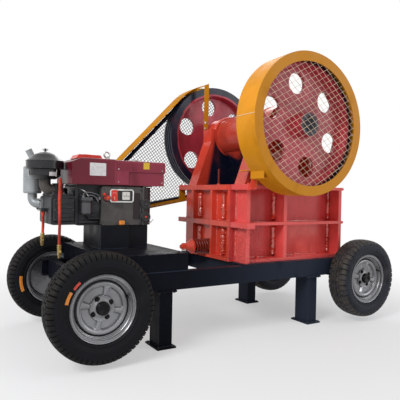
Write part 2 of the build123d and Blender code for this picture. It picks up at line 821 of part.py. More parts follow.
def belt_guard_strap():
    """The upright strap from the far bearing upright, and its arm under the end of the band."""
    left = upright_front + upright_lean
    strap_x = (left, left + strap_width)
    inner = belt_guard_big - belt_guard_sheet
    strap = span(strap_x, (upright_outside - strap_thick, upright_outside), (upright_top, 1800))
    arm = span(strap_x, (upright_outside - strap_thick, belt_guard_near + 40), (1500, 1800))
    arm -= round_y(shaft_x, shaft_z, inner - strap_thick, upright_inside, belt_guard_far)
    return (strap + arm) & round_y(shaft_x, shaft_z, inner + 1, upright_inside, belt_guard_far)


def lower_run(x, big, small):
    """The height of a loop's lower straight run at a given x."""
    run_x = shaft_x - pulley_x
    run_z = shaft_z - pulley_z
    slope = atan2(run_z, run_x) - asin((big - small) / hypot(run_x, run_z))
    return pulley_z - small * cos(slope) + (x - pulley_x - small * sin(slope)) * tan(slope)


def belt_guard_bracket():
    """The angle bracket between the crusher's far ear and the lower sheet of the belt guard."""
    left = crusher_front + 5
    right = crusher_front + ear_depth - 4
    big = belt_guard_big - belt_guard_sheet
    small = belt_guard_small - belt_guard_sheet
    low_left = lower_run(left, big, small)
    low_right = lower_run(right, big, small)
    foot = [(left, low_left - 1), (right, low_right - 1), (right, low_right + 6), (left, low_left + 6)]
    leg = [(left, low_left), (right, low_right), (right, crusher_top), (left, crusher_top)]
    return plate_y(foot, ear_reach, belt_guard_near + 60) + plate_y(leg, ear_reach, ear_reach + 6)


def crankcase():
    """The engine's block, with the crank room, on its stand."""
    outline = [(block_left, stand_top), (column_right - 10, stand_top),
               (column_right - 10, block_top), (block_left, block_top)]
    body = plate_y(outline, block_near, engine_far)
    body = fillet(body.edges().filter_by(Axis.Y), 14)
    return body


def gear_cover():
    """The flat gear case on the near side with a half-round column at its end."""
    low = stand_top + 2
    high = block_top - 5
    body = span((cover_left, cover_right), (engine_near, block_near), (low, high))
    body = fillet(body.edges().filter_by(Axis.Y), 12)
    column_radius = (column_right - cover_right) / 2
    column = round_z(cover_right + column_radius, engine_near + 20, column_radius, low, high)
    column += span((cover_right, column_right), (engine_near + 20, block_near), (low, high))
    body += column - span((cover_left, column_right + 1), (block_near, 0), (low - 1, high + 1))
    for height in (714, 793):
        body += round_y(cover_right + column_radius - 8, height, 30, engine_near - 16, engine_near + 10)
    return body + speed_knob()


def control_panel():
    """The framed plate with the speed scale and its knob."""
    body = span((200, 350), (engine_near - 6, engine_near), (803, 880))
    body -= span((208, 342), (engine_near - 7, engine_near - 3), (811, 872))
    body += span((214, 248), (engine_near - 9, engine_near - 3), (808, 876))
    body += span((280, 322), (engine_near - 9, engine_near - 3), (820, 866))
    return body


def speed_knob():
    """The round knob of the speed lever beside the panel."""
    return round_y(182, 828, 16, engine_near - 30, engine_near + 1)


def cylinder_head():
    """The cylinder head at the front of the block, with its inlet block and cable lugs."""
    body = span((head_left, block_left), (block_near, engine_far), (stand_top + 5, head_top))
    body = fillet(body.edges().filter_by(Axis.Y), 16)
    body += span((inlet_x, inlet_x + 50), (cleaner_y - 36, cleaner_y + 36),
                 (head_top - 1, elbow_z + elbow_radius + 6))
    start = long_cable[0]
    body += round_z(start[0], start[1], lug_radius, head_top - 1, start[2])
    start = short_cable[0]
    body += span((start[0] - 14, head_left + 1), (start[1] - 14, start[1] + 14), (start[2], start[2] + 20))
    return body


def hood():
    """The fuel tank and water hopper under one hood, with a stepped back half."""
    near = engine_near - 12
    far = engine_far + 5
    front = span((hood_left, hood_step), (near, far), (hood_bottom, hood_top))
    ridge = front.edges().filter_by(Axis.Y).sort_by(Axis.X)[:2]
    front = chamfer(ridge.sort_by(Axis.Z)[-1:], 26, 60)
    front = fillet(front.edges().filter_by(Axis.X).sort_by(Axis.Z)[-2:], 18)
    back_low = span((hood_step, hood_right - 6), (near + 6, far - 6), (hood_bottom, hood_top - 70))
    back_top = span((hood_step, hood_right), (near + 1, far - 1), (hood_top - 70, hood_top - 4))
    back_top = fillet(back_top.edges().filter_by(Axis.X).sort_by(Axis.Z)[-2:], 18)
    body = front + back_low + back_top
    body += span((20, hood_right - 60), (block_near + 10, engine_far - 10), (block_top, hood_bottom))
    return body + lifting_eye()


def hood_lid():
    """The shallow red lid on the hood."""
    low = hood_top
    base = [(20, low), (185, low), (168, low + 24), (38, low + 24)]
    return plate_y(base, 20, 150)


def lifting_eye():
    """The eye bolt on top of the hood."""
    ring = Pos(222, 60, hood_top + 34) * Rot(90, 0, 0) * Torus(17, 5)
    return ring + round_z(222, 60, 8, hood_top - 5, hood_top + 20)


def sight_gauge():
    """The fuel sight tube at the back end of the hood."""
    x = hood_right + 12
    body = round_z(x, 0, 8, hood_bottom + 8, hood_top - 18)
    for height, start in ((hood_bottom + 12, hood_right - 6), (hood_top - 34, hood_right)):
        body += span((start, x), (-9, 9), (height, height + 12))
    return body


def air_cleaner():
    """The oil-bath air cleaner: bowl, wide band and dome with a wing nut."""
    wide = cleaner_radius
    low = cleaner_bottom
    profile = [(0, low), (60, low), (wide - 18, low + 20), (wide - 18, low + 54), (wide, low + 60),
               (wide, low + 106), (wide - 22, low + 122), (wide - 46, low + 142), (30, low + 154),
               (6, low + 156), (6, low + 178), (0, low + 178)]
    outline = Polyline(*[(r, 0, z) for r, z in profile], close=True)
    body = revolve(make_face(outline), axis=Axis.Z, revolution_arc=360)
    return Pos(cleaner_x, cleaner_y, 0) * body


def intake_elbow():
    """The cast elbow from the air cleaner down to the head's inlet block."""
    start = (cleaner_x, cleaner_y, cleaner_bottom)
    path = FilletPolyline(start, (cleaner_x, cleaner_y, elbow_z), (inlet_x, cleaner_y, elbow_z), radius=40)
    return sweep(Plane(origin=start, z_dir=(0, 0, -1)) * Circle(elbow_radius), path=path)


def muffler():
    """The exhaust: a flanged bend from the head, a round can and a slanted tail pipe."""
    can = fillet(round_z(muffler_x, muffler_y, muffler_radius, 846, 1010).edges(), 10)
    low = (muffler_x, muffler_y, 848)
    corner = (muffler_x, muffler_y, 786)
    end = (head_left + 4, muffler_y - 47, 786)
    pipe = sweep(Plane(origin=low, z_dir=(0, 0, -1)) * Circle(28),
                 path=FilletPolyline(low, corner, end, radius=38))
    flange_y = muffler_y - 43
    flange = span((head_left - 12, head_left), (flange_y - 44, flange_y + 44), (742, 816))
    tail = Pos(muffler_x + 31, muffler_y, 1000) * Rot(0, -28, 0) * Cylinder(
        20, 125, align=(Align.CENTER, Align.CENTER, Align.MIN))
    body = can + pipe + flange + tail
    return body - span((head_left, 0), (100, 400), (600, head_top + 4))


def cable(points):
    """A battery cable: straight runs joined by arcs as wide as the runs allow."""
    radii = []
    for before, here, after in zip(points, points[1:], points[2:]):
        first = Vector(*here) - Vector(*before)
        second = Vector(*after) - Vector(*here)
        half_turn = radians(first.get_angle(second)) / 2
        radii.append(0.45 * min(first.length, second.length) / tan(half_turn))
    path = FilletPolyline(*points, radius=radii)
    body = sweep(Plane(origin=path @ 0, z_dir=path % 0) * Circle(cable_radius), path=path)
    expected = pi * cable_radius ** 2 * path.length
    print("cable radii", [round(radius) for radius in radii], "volume", round(body.volume / expected, 4))
    return body


def cable_clip(points):
    """The clamp at a cable's loose end: a ferrule and an open ring."""
    end = Vector(*points[-1])
    down = (end - Vector(*points[-2])).normalized()
    ferrule = Plane(origin=end, z_dir=down) * Cylinder(
        lug_radius, lug_length, align=(Align.CENTER, Align.CENTER, Align.MIN))
    ring = end + down * (lug_length + 14)
    outer = round_x(ring.Y, ring.Z, 19, ring.X - 7, ring.X + 7)
    inner = round_x(ring.Y, ring.Z, 10, ring.X - 8, ring.X + 8)
    slot = span((ring.X - 8, ring.X + 8), (ring.Y - 3, ring.Y + 3), (ring.Z - 20, ring.Z))
    return ferrule + outer - inner - slot


def oil_filter():
    """The round filter hung beside the gear case."""
    body = round_z(62, block_near - 36, 32, 730, 812)
    body = fillet(body.edges(), 8)
    body += span((30, 94), (block_near - 50, block_near), (812, 830))
    return body


def add(name, shape):
    """Keeps a piece, or several loose solids of one piece, under its name."""
    if isinstance(shape, list):
        shape = Compound(children=[Part(solid.wrapped) for solid in shape])
    pieces[name] = shape


def build_frame():
    """The rails, legs, axles and wheels."""
    sides = {"near": -1, "far": 1}
    for label, side in sides.items():
        add("side_rail_" + label, side_rail(side))
    add("legs", [leg(place, side) for place in leg_places for side in (-1, 1)])
    add("cross_members", [cross_member(place) for place in cross_places])
    for end, place, radius, width in (("front", 0.0, front_tyre_radius, front_tyre_width),
                                      ("rear", wheelbase, rear_tyre_radius, rear_tyre_width)):
        add("axle_" + end, axle(place))
        for label, side in sides.items():
            add("rim_" + end + "_" + label, rim(place, side))
            add("tyre_" + end + "_" + label, tyre(place, side, radius, width))


def build_crusher():
    """The crusher box, its jaws and its moving shaft."""
    for label, side in (("near", -1), ("far", 1)):
        add("side_frame_" + label, side_frame(side))
    add("uprights", [upright(side) for side in (-1, 1)])
    add("bearings", [bearing(side) for side in (-1, 1)])
    add("toggle_end_wall", toggle_end_wall())
    add("fixed_jaw_wall", fixed_jaw_wall())
    add("fixed_jaw_plate", fixed_jaw_plate())
    add("cheek_plates", cheek_plates())
    add("swing_jaw", swing_jaw())
    add("swing_jaw_plate", swing_jaw_plate())
    add("toggle_seat", toggle_seat())
    add("toggle_plate", toggle_plate())
    add("tension_rod", tension_rod())
    add("tension_spring", tension_spring())
    add("eccentric_shaft", eccentric_shaft())
    add("flywheel", big_wheel(-1, flywheel_radius, flywheel_rim_inner, flywheel_width))
    add("belt_sheave", sheave())


def build_guards():
    """The two guards and the belts."""
    add("flywheel_guard", flywheel_guard())
    add("flywheel_guard_mesh", flywheel_mesh())
    add("belt_guard_band", belt_guard_band())
    add("belt_guard_mesh", belt_guard_mesh())
    add("drive_belts", drive_belts())


def build_engine():
    """The diesel engine on its bed and stand."""
    add("engine_bed", engine_bed())
    add("engine_stand", engine_stand())
    add("crankcase", crankcase())
    add("gear_cover", gear_cover())
    add("control_panel", control_panel())
    add("cylinder_head", cylinder_head())
    add("hood", hood())
    add("hood_lid", hood_lid())
    add("sight_gauge", sight_gauge())
    add("air_cleaner", air_cleaner())
    add("intake_elbow", intake_elbow())
    add("muffler", muffler())
    add("oil_filter", oil_filter())
    for label, points in (("long", long_cable), ("short", short_cable)):
        add("battery_cable_" + label, cable(points))
    add("cable_clips", [cable_clip(points) for points in (long_cable, short_cable)])
    add("engine_wheel", engine_wheel())
    add("engine_pulley", engine_pulley())


def whole_middle():
    """The middle of the whole machine in x and y."""
    boxes = [shape.bounding_box() for shape in pieces.values()]
    low_x = min(box.min.X for box in boxes)
    high_x = max(box.max.X for box in boxes)
    low_y = min(box.min.Y for box in boxes)
    high_y = max(box.max.Y for box in boxes)
    return (low_x + high_x) / 2, (low_y + high_y) / 2


build_frame()
build_crusher()
build_guards()
build_engine()
middle_x, middle_y = whole_middle()
print("shift", round(middle_x, 3), round(middle_y, 3))
for name, shape in pieces.items():
    pieces[name] = Pos(-middle_x, -middle_y, 0) * shape
    export_step(pieces[name], "parts/" + name + ".step")
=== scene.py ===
"""Looks of the mobile jaw crusher: paint, cast iron, rubber, wire mesh, welds, bolts and cables.

Places are given in millimetres: x from the front axle, y from the middle of the frame, z from the
floor. +X points from the engine to the crusher, -Y is the side of the round flywheel guard.
"""
import itertools
import math
import random
from typing import NamedTuple

import bmesh
import bpy
from bpy.props import FloatProperty, FloatVectorProperty, IntProperty, PointerProperty
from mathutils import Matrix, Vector


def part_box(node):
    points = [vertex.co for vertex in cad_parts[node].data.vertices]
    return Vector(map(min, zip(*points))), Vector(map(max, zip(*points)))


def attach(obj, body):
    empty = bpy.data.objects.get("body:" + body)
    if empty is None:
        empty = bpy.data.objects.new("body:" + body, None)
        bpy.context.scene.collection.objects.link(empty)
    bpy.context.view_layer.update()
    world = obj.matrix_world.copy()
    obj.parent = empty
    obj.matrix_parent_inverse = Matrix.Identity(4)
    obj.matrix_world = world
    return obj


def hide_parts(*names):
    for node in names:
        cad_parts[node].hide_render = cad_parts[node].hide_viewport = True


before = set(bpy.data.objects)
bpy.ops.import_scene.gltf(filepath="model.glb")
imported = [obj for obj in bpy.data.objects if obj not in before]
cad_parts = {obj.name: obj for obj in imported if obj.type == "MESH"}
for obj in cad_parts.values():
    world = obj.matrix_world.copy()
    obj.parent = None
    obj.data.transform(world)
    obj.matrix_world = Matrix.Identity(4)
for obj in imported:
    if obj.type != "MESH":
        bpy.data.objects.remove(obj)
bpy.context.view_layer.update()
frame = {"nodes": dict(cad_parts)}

bl_info = {
    "name": "Mobile jaw crusher",
    "version": (1, 0, 0),
    "blender": (4, 5, 0),
    "location": "View3D > Sidebar > Crusher",
    "description": "Dresses the crusher's frame with paint, tyres, mesh, welds, bolts and cables",
    "category": "Add Mesh",
}

AXLE_LOW, AXLE_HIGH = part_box("axle_front")
MIDDLE = Vector(((AXLE_LOW.x + AXLE_HIGH.x) / 2, (AXLE_LOW.y + AXLE_HIGH.y) / 2, 0))


def mm(x, y, z):
    """A place in metres from millimetres."""
    return Vector((x, y, z)) / 1000 + MIDDLE


def round_middle(node):
    """The x and z in millimetres of a round node's axis."""
    low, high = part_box(node)
    middle = ((low + high) / 2 - MIDDLE) * 1000
    return middle.x, middle.z


SHAFT = round_middle("flywheel")
PULLEY = round_middle("engine_pulley")
AXLE_HEIGHT = (AXLE_LOW.z + AXLE_HIGH.z) / 2 * 1000
REAR_AXLE = round_middle("axle_rear")[0]
WHEEL_MIDDLE = 486.0
LONG_ROUTE = [(-60, 44, 844), (-60, 44, 892), (-74, 5, 930), (-90, -50, 929), (-100, -89, 890),
              (-103, -94, 798), (-99, -93, 700), (-101, -94, 610), (-100, -93, 560)]
SHORT_ROUTE = [(-146, 100, 742), (-146, 100, 700), (-144, 100, 655), (-147, 99, 612)]


class Wheel(NamedTuple):
    """The x of a wheel's axle, its side, its tyre's radius and half width, and its blocks in a round."""
    axle: float
    side: int
    radius: float
    half: float
    blocks: int

    def home(self):
        return self.axle, self.side * WHEEL_MIDDLE, AXLE_HEIGHT


WHEELS = {
    "front_near": Wheel(0.0, -1, 275.0, 73.0, 60),
    "front_far": Wheel(0.0, 1, 275.0, 73.0, 60),
    "rear_near": Wheel(REAR_AXLE, -1, 267.0, 76.0, 44),
    "rear_far": Wheel(REAR_AXLE, 1, 267.0, 76.0, 44),
}
LEFT = (-1, 0, 0)
RIGHT = (1, 0, 0)
NEARWARD = (0, -1, 0)
FARWARD = (0, 1, 0)
UP = (0, 0, 1)
DOWN = (0, 0, -1)


def colour_of(label, value, note):
    """A colour a user may change."""
    return FloatVectorProperty(name=label, description=note, default=value, subtype="COLOR",
                               min=0.0, max=1.0)


def length_of(label, value, note):
    """A length in millimetres a user may change."""
    return FloatProperty(name=label, description=note, default=value, min=0.1, precision=1)


class CrusherColours(bpy.types.PropertyGroup):
    """The paints and bare finishes."""

    frame: colour_of("Frame", (0.004, 0.005, 0.009), "Blue-black paint of the rails and legs")
    red: colour_of("Crusher red", (0.75, 0.068, 0.036), "Paint of the crusher box and uprights")
    web: colour_of("Wheel web", (0.46, 0.042, 0.066), "Paint of the webs of the big wheels")
    navy: colour_of("Wheel rim", (0.006, 0.009, 0.024), "Dark primer on rims, hubs and the jaw's foot")
    orange: colour_of("Guard orange", (0.76, 0.3, 0.01), "Paint of the guards and the strap")
    hood: colour_of("Hood", (0.185, 0.01, 0.027), "Maroon paint of the engine's hood")
    lid: colour_of("Lid", (0.75, 0.035, 0.02), "Bright red paint of the hood's lid and the knob")
    engine: colour_of("Gear case", (0.07, 0.064, 0.061), "Grey paint of the gear case")
    block: colour_of("Engine block", (0.018, 0.019, 0.022), "Black paint of the cylinder head")
    silver: colour_of("Wheel silver", (0.25, 0.252, 0.262), "Hammered silver paint of the rims")
    rubber: colour_of("Rubber", (0.0065, 0.007, 0.0095), "Tyres and belts")
    cable: colour_of("Cable", (0.42, 0.045, 0.025), "Red sheath of the battery cables")
    dust: colour_of("Dust", (0.32, 0.25, 0.17), "Sandy dust on faces that look up")


class CrusherSizes(bpy.types.PropertyGroup):
    """The sizes of the fine pieces."""

    wire: length_of("Guard wire", 2.3, "Thickness of the near guard's wires, in millimetres")
    pitch: length_of("Guard mesh", 35.0, "Distance between the near guard's wires, in millimetres")
    far_wire: length_of("Belt guard wire", 3.8, "Thickness of the belt guard's wires, in millimetres")
    far_pitch: length_of("Belt guard mesh", 20.0, "Distance between the belt guard's wires, in millimetres")
    bead: length_of("Weld bead", 7.0, "Half the width of the crusher's weld beads, in millimetres")
    ripple: length_of("Weld ripple", 7.0, "Distance between a weld bead's ripples, in millimetres")
    notch: length_of("Tread notch", 9.0, "Depth of the slots in the tyres' shoulders, in millimetres")
    cable: length_of("Cable", 16.0, "Thickness of the battery cables, in millimetres")


class StudioSettings(bpy.types.PropertyGroup):
    """The floor, the lights and the start of the random draws."""

    floor: colour_of("Floor", (0.8, 0.8, 0.8), "Colour of the pale floor")
    key: FloatProperty(name="Key light", description="Power of the soft light on the left",
                       default=330.0, min=0.0, unit="POWER")
    fill: FloatProperty(name="Fill light", description="Power of the soft light on the right",
                        default=70.0, min=0.0, unit="POWER")
    sky: FloatProperty(name="Sky", description="Light from all around", default=0.5, min=0.0)
    seed: IntProperty(name="Seed", description="Start of the uneven welds", default=7)


# Finishes

class Finish:
    """A material's node tree, built in short calls."""

    def __init__(self, name, **fixed):
        if name in bpy.data.materials:
            raise RuntimeError("the finish " + name + " is there already")
        self.material = bpy.data.materials.new(name)
        self.material.use_nodes = True
        self.tree = self.material.node_tree
        self.tree.nodes.clear()
        self.shader = self.node("BsdfPrincipled")
        output = self.node("OutputMaterial")
        self.tree.links.new(self.shader.outputs[0], output.inputs["Surface"])
        places = self.node("TexCoord")
        self.place = places.outputs["Object"]
        self.facing = places.outputs["Normal"]
        for socket, value in fixed.items():
            self.shader.inputs[socket.replace("_", " ")].default_value = value

    def node(self, kind, **settings):
        made = self.tree.nodes.new("ShaderNode" + kind)
        for key, value in settings.items():
            setattr(made, key, value)
        return made

    def put(self, socket, value):
        """Links another socket, or sets a plain value."""
        if isinstance(value, bpy.types.NodeSocket):
            self.tree.links.new(value, socket)
        elif isinstance(value, (tuple, list)) and len(value) == 3 and socket.type == "RGBA":
            socket.default_value = (*value, 1.0)
        else:
            socket.default_value = value

    def noise(self, scale, detail=3.0, stretch=(1, 1, 1), twist=0.0):
        """Soft noise, with scale in waves per metre."""
        place = self.place
        if stretch != (1, 1, 1):
            place = self.vector("MULTIPLY", place, stretch)
        made = self.node("TexNoise")
        self.put(made.inputs["Vector"], place)
        self.put(made.inputs["Scale"], float(scale))
        self.put(made.inputs["Detail"], float(detail))
        self.put(made.inputs["Distortion"], float(twist))
        return made.outputs["Fac"]

    def vector(self, operation, first, second=None):
        made = self.node("VectorMath", operation=operation)
        self.put(made.inputs[0], first)
        if second is not None:
            self.put(made.inputs[1], second)
        return made.outputs["Value" if operation in ("LENGTH", "DOT_PRODUCT") else "Vector"]

    def sum(self, operation, first, second):
        made = self.node("Math", operation=operation, use_clamp=operation in ("ADD", "MULTIPLY"))
        self.put(made.inputs[0], first)
        self.put(made.inputs[1], second)
        return made.outputs[0]

    def step(self, value, low, high, start=0.0, end=1.0):
        """Rises smoothly from start, below low, to end, above high."""
        made = self.node("MapRange", interpolation_type="SMOOTHSTEP")
        for key, number in zip(("Value", "From Min", "From Max", "To Min", "To Max"),
                               (value, low, high, start, end)):
            self.put(made.inputs[key], number)
        return made.outputs["Result"]

    def mix(self, share, first, second):
        made = self.node("Mix", data_type="RGBA")
        self.put(made.inputs[0], share)
        self.put(made.inputs[6], first)
        self.put(made.inputs[7], second)
        return made.outputs[2]

    def axis(self, letter):
        """One coordinate of the place."""
        made = self.node("SeparateXYZ")
        self.put(made.inputs[0], self.place)
        return made.outputs[letter]

    def reach(self, x, z):
        """The distance in metres from an axle that lies along y."""
        flat = self.vector("MULTIPLY", self.vector("SUBTRACT", self.place, mm(x, 0, z)[:]), (1, 0, 1))
        return self.vector("LENGTH", flat)

    def from_axle(self):
        """The distance in metres from the piece's own axle, which lies along y."""
        return self.vector("LENGTH", self.vector("MULTIPLY", self.place, (1, 0, 1)))

    def past(self, point, direction, soft=0.002):
        """1 past a flat cut through a point in millimetres, with a soft edge in metres."""
        ahead = Vector(direction).normalized()
        from_point = self.vector("SUBTRACT", self.place, mm(*point)[:])
        return self.step(self.vector("DOT_PRODUCT", from_point, ahead[:]), -soft, soft)

    def all_of(self, *shares):
        """The product of several shares."""
        last = shares[0]
        for share in shares[1:]:
            last = self.sum("MULTIPLY", last, share)
        return last

    def upward(self):
        """1 on faces that look up."""
        made = self.node("SeparateXYZ")
        self.put(made.inputs[0], self.facing)
        return self.step(made.outputs["Z"], 0.55, 0.95)

    def settled(self, scale, low, high, dust):
        """How much dust lies in patches on faces that look up."""
        return self.all_of(self.upward(), self.step(self.noise(scale, 6), low, high), dust)

    def edges(self, size):
        """1 along sharp outer edges."""
        soft = self.node("Bevel", samples=4)
        self.put(soft.inputs["Radius"], size)
        plain = self.node("NewGeometry")
        match = self.vector("DOT_PRODUCT", soft.outputs[0], plain.outputs["Normal"])
        return self.step(match, 0.97, 0.75)

    def relief(self, *layers):
        """Bumps from (height, depth in metres) layers, one on another."""
        last = None
        for height, depth in layers:
            made = self.node("Bump")
            self.put(made.inputs["Height"], height)
            self.put(made.inputs["Distance"], depth)
            self.put(made.inputs["Strength"], 0.8)
            if last is not None:
                self.put(made.inputs["Normal"], last)
            last = made.outputs["Normal"]
        self.put(self.shader.inputs["Normal"], last)

    def done(self, colour, rough):
        self.put(self.shader.inputs["Base Color"], colour)
        self.put(self.shader.inputs["Roughness"], rough)
        return self.material


def shade(colour, share):
    """A darker or lighter tone of a colour."""
    return tuple(min(1.0, part * share) for part in colour)


def painted(name, colour, rough=0.34, coat=0.25, dust=0.5, wear=0.6, blotch=0.3, zones=(), lumps=1.0,
            gleam=0.5, metal=0.0, peel=None):
    """Sprayed paint on welded steel: uneven tone, runs, fine peel, worn edges and settled dust."""
    made = Finish(name, Coat_Weight=coat, Coat_Roughness=0.12, IOR=1.5, Specular_IOR_Level=gleam,
                  Metallic=metal)
    broad = made.noise(2.6, 4, twist=0.6)
    grime = made.noise(11, 6, (1, 1, 0.5))
    fine = made.noise(120, 3)
    tone = made.mix(made.step(broad, 0.36, 0.64), shade(colour, 1 - blotch), shade(colour, 1.06))
    for zone, other in zones:
        tone = made.mix(zone(made), tone, other)
    dirt = made.step(grime, 0.54, 0.8, 0.0, 0.45)
    tone = made.mix(dirt, tone, shade(colour, 0.4))
    if wear:
        worn = made.all_of(made.edges(0.004), made.step(made.noise(34, 5), 0.45, 0.62), wear)
        tone = made.mix(worn, tone, (0.13, 0.09, 0.07))
    settled = made.settled(7, 0.3, 0.72, dust)
    tone = made.mix(settled, tone, tuple(bpy.context.scene.crusher_colours.dust))
    gloss = made.step(grime, 0.35, 0.75, rough - 0.07, rough + 0.14)
    gloss = made.sum("ADD", gloss, made.sum("MULTIPLY", settled, 0.4))
    layers = [(broad, 0.004 * lumps), (made.noise(26, 3), 0.0012 * lumps), (fine, 0.00025)]
    if peel:
        layers.append((made.sum("MULTIPLY", made.step(made.noise(85, 2), 0.42, 0.62), peel(made)), 0.0035))
    made.relief(*layers)
    return made.done(tone, gloss)


def cast(name, colour, rough=0.55, oil=0.4, zones=(), dust=0.4):
    """Sand-cast iron under thin paint: a grainy skin with oily dark patches."""
    made = Finish(name, IOR=1.5, Specular_IOR_Level=0.35)
    grain = made.noise(260, 4)
    patch = made.noise(14, 6, twist=0.4)
    tone = made.mix(made.step(patch, 0.35, 0.7), shade(colour, 1.15), shade(colour, 0.55))
    for zone, other in zones:
        tone = made.mix(zone(made), tone, other)
    settled = made.settled(9, 0.35, 0.7, dust)
    tone = made.mix(settled, tone, tuple(bpy.context.scene.crusher_colours.dust))
    worn = made.all_of(made.edges(0.003), made.step(made.noise(50, 4), 0.4, 0.6), 0.5)
    tone = made.mix(worn, tone, (0.2, 0.19, 0.18))
    gloss = made.step(patch, 0.35, 0.7, rough, rough - oil * 0.5)
    made.relief((made.noise(30, 3), 0.0015), (grain, 0.0006))
    return made.done(tone, gloss)


def bare(name, colour, rough=0.32, rust=0.3, brushed=(1, 1, 1), metal=0.9):
    """Bare or plated metal with fine scratches, stains and specks of rust."""
    made = Finish(name, Metallic=metal)
    stain = made.noise(22, 6)
    scratch = made.noise(180, 4, brushed)
    tone = made.mix(made.step(stain, 0.35, 0.7), shade(colour, 1.1), shade(colour, 0.62))
    specks = made.step(made.noise(75, 6), 0.6, 0.7, 0.0, rust)
    tone = made.mix(specks, tone, (0.16, 0.06, 0.025))
    gloss = made.sum("ADD", made.step(scratch, 0.3, 0.7, rough - 0.08, rough + 0.12),
                     made.sum("MULTIPLY", specks, 0.6))
    made.relief((scratch, 0.0002), (stain, 0.0006))
    return made.done(tone, gloss)


def rubber(name, colour, rough=0.6, tread=None, soil=1.0):
    """Moulded rubber, dustier and browner where it has touched the ground."""
    made = Finish(name, IOR=1.5, Specular_IOR_Level=0.14)
    patch = made.noise(16, 6)
    grain = made.noise(300, 3)
    tone = made.mix(made.step(patch, 0.35, 0.7), shade(colour, 0.75), shade(colour, 1.6))
    if tread:
        outer = made.step(made.from_axle(), tread - 0.034, tread - 0.012)
        dusty = made.sum("MULTIPLY", outer, made.step(made.noise(26, 5), 0.25, 0.65, 0.15, 0.8))
        tone = made.mix(dusty, tone, shade((0.075, 0.066, 0.055), soil))
        smear = made.step(made.noise(7, 5), 0.55, 0.75, 0.0, 0.25 * soil)
        tone = made.mix(smear, tone, (0.07, 0.065, 0.06))
    gloss = made.step(patch, 0.3, 0.7, rough - 0.12, rough + 0.1)
    made.relief((made.noise(45, 3), 0.0006), (grain, 0.0003))
    return made.done(tone, gloss)


def patch_of(name, colour):
    """A bare sticker: plain film with a soft sheen and scuffs."""
    made = Finish(name, IOR=1.45)
    scuff = made.noise(60, 6)
    tone = made.mix(made.step(scuff, 0.45, 0.75, 0.0, 0.5), colour, shade(colour, 0.7))
    made.relief((scuff, 0.0002))
    return made.done(tone, made.step(scuff, 0.3, 0.7, 0.32, 0.55))


def glass(name, colour):
    """A sight tube of aged clear plastic."""
    made = Finish(name, Transmission_Weight=0.55, IOR=1.46)
    height = made.axis("Z")
    band = made.sum("MULTIPLY", made.step(height, 0.968, 0.972), made.step(height, 1.004, 1.0))
    tone = made.mix(made.step(made.noise(40, 4), 0.3, 0.7), colour, shade(colour, 0.7))
    tone = made.mix(band, tone, (0.6, 0.02, 0.015))
    return made.done(tone, made.step(made.noise(90, 4), 0.3, 0.7, 0.12, 0.3))


# Zones of another tone

def rim_zone(made):
    """The dark edge of a rim, narrower on the near wheel."""
    near = made.step(made.axis("Y"), 0.01, 0.0, 0.0, 0.022)
    ragged = made.sum("ADD", near, made.step(made.noise(6, 4), 0.3, 0.7, 0.0, 0.008))
    return made.step(made.sum("SUBTRACT", made.reach(*SHAFT), ragged), 0.35, 0.362)


def hub_zone(made):
    return made.step(made.reach(*SHAFT), 0.073, 0.07)


def smudge_zone(made):
    return made.step(made.noise(7, 5), 0.52, 0.7, 0.0, 0.35)


def jaw_foot(made):
    height = made.sum("SUBTRACT", made.axis("Z"), made.step(made.noise(9, 5), 0.3, 0.7, 0.0, 0.05))
    return made.step(height, 1.145, 1.105)


def along_x(made, low, high):
    """Rises from 0 to 1 between two places along x."""
    return made.step(made.axis("X"), mm(low, 0, 0).x, mm(high, 0, 0).x)


def hood_lit_end(made):
    """The hood's end towards the crusher, painted lighter to stand in for the brighter light there."""
    return along_x(made, 60, 540)


def frame_lit_end(made):
    """The frame's end under the crusher, painted paler to stand in for the brighter light there."""
    return along_x(made, 350, 1500)


def column(made):
    """The gear cover's dark end towards the crusher."""
    return along_x(made, 412, 422)


def overspray(made):
    """Dark primer on the uprights' inner faces, behind a slanting edge."""
    inner = made.step(made.sum("ABSOLUTE", made.axis("Y"), 0.0), 0.2395, 0.2385)
    return made.all_of(inner, made.past((1078, 0, 967), (1, 0, -0.173), 0.018))


def side_wall(made):
    """The near wall of the crusher, between its flanges."""
    return made.all_of(made.past((0, -236, 0), NEARWARD), made.past((0, -259, 0), FARWARD))


def floor_bounce_light(made):
    """The paler lower half of the near wall, painted light bounced from the floor, with a painted sheen."""
    return made.all_of(side_wall(made), made.past((0, 0, 668), DOWN), made.past((1250, 0, 0), RIGHT, 0.15),
                       made.step(made.noise(5, 4), 0.3, 0.7, 0.25, 0.9))


def dark_corner(made):
    return made.all_of(side_wall(made), made.past((1800, 0, 860), (1, 0, 0.9), 0.05),
                       made.step(made.noise(12, 4), 0.3, 0.6, 0.5, 1.0))


def coarse_drops(made):
    """Where the paint has run into coarse drops."""
    return made.all_of(made.past((0, -200, 0), NEARWARD, 0.02), made.past((0, 0, 668), DOWN),
                       made.past((1200, 0, 0), LEFT, 0.06))


def near_edges(made):
    """The sunlit outer edges of the near flanges."""
    return made.all_of(made.past((0, -260, 0), NEARWARD), made.past((0, 0, 940), DOWN))


# Painted shade: the guard's front ring is given a darker orange than its wall.
def shaded_front_ring(made):
    return made.past((0, -599, 0), NEARWARD, 0.0006)


def bracket_foot(made):
    return made.all_of(made.past((1000, 0, 0), LEFT), made.past((0, 0, 955), DOWN),
                       made.past((0, -200, 0), NEARWARD))


def groove(made):
    """The darker groove round a wheel's disc."""
    radius = made.from_axle()
    return made.all_of(made.step(radius, 0.1325, 0.1335), made.step(radius, 0.1378, 0.1368))


def eye_zone(made):
    return made.step(made.axis("Z"), 1.0585, 1.0595)


def red_patches(made):
    return made.step(made.noise(5, 5), 0.5, 0.72, 0.0, 0.35)


# Shapes

def around(centre, radius, degrees):
    """A place on a circle about an axis that lies along y."""
    turn = math.radians(degrees)
    return Vector(centre) + Vector((radius * math.cos(turn), 0, radius * math.sin(turn)))


def circle(centre, radius, steps):
    """A closed circle of points about an axis that lies along y."""
    return [around(centre, radius, 360 * step / steps) for step in range(steps + 1)]


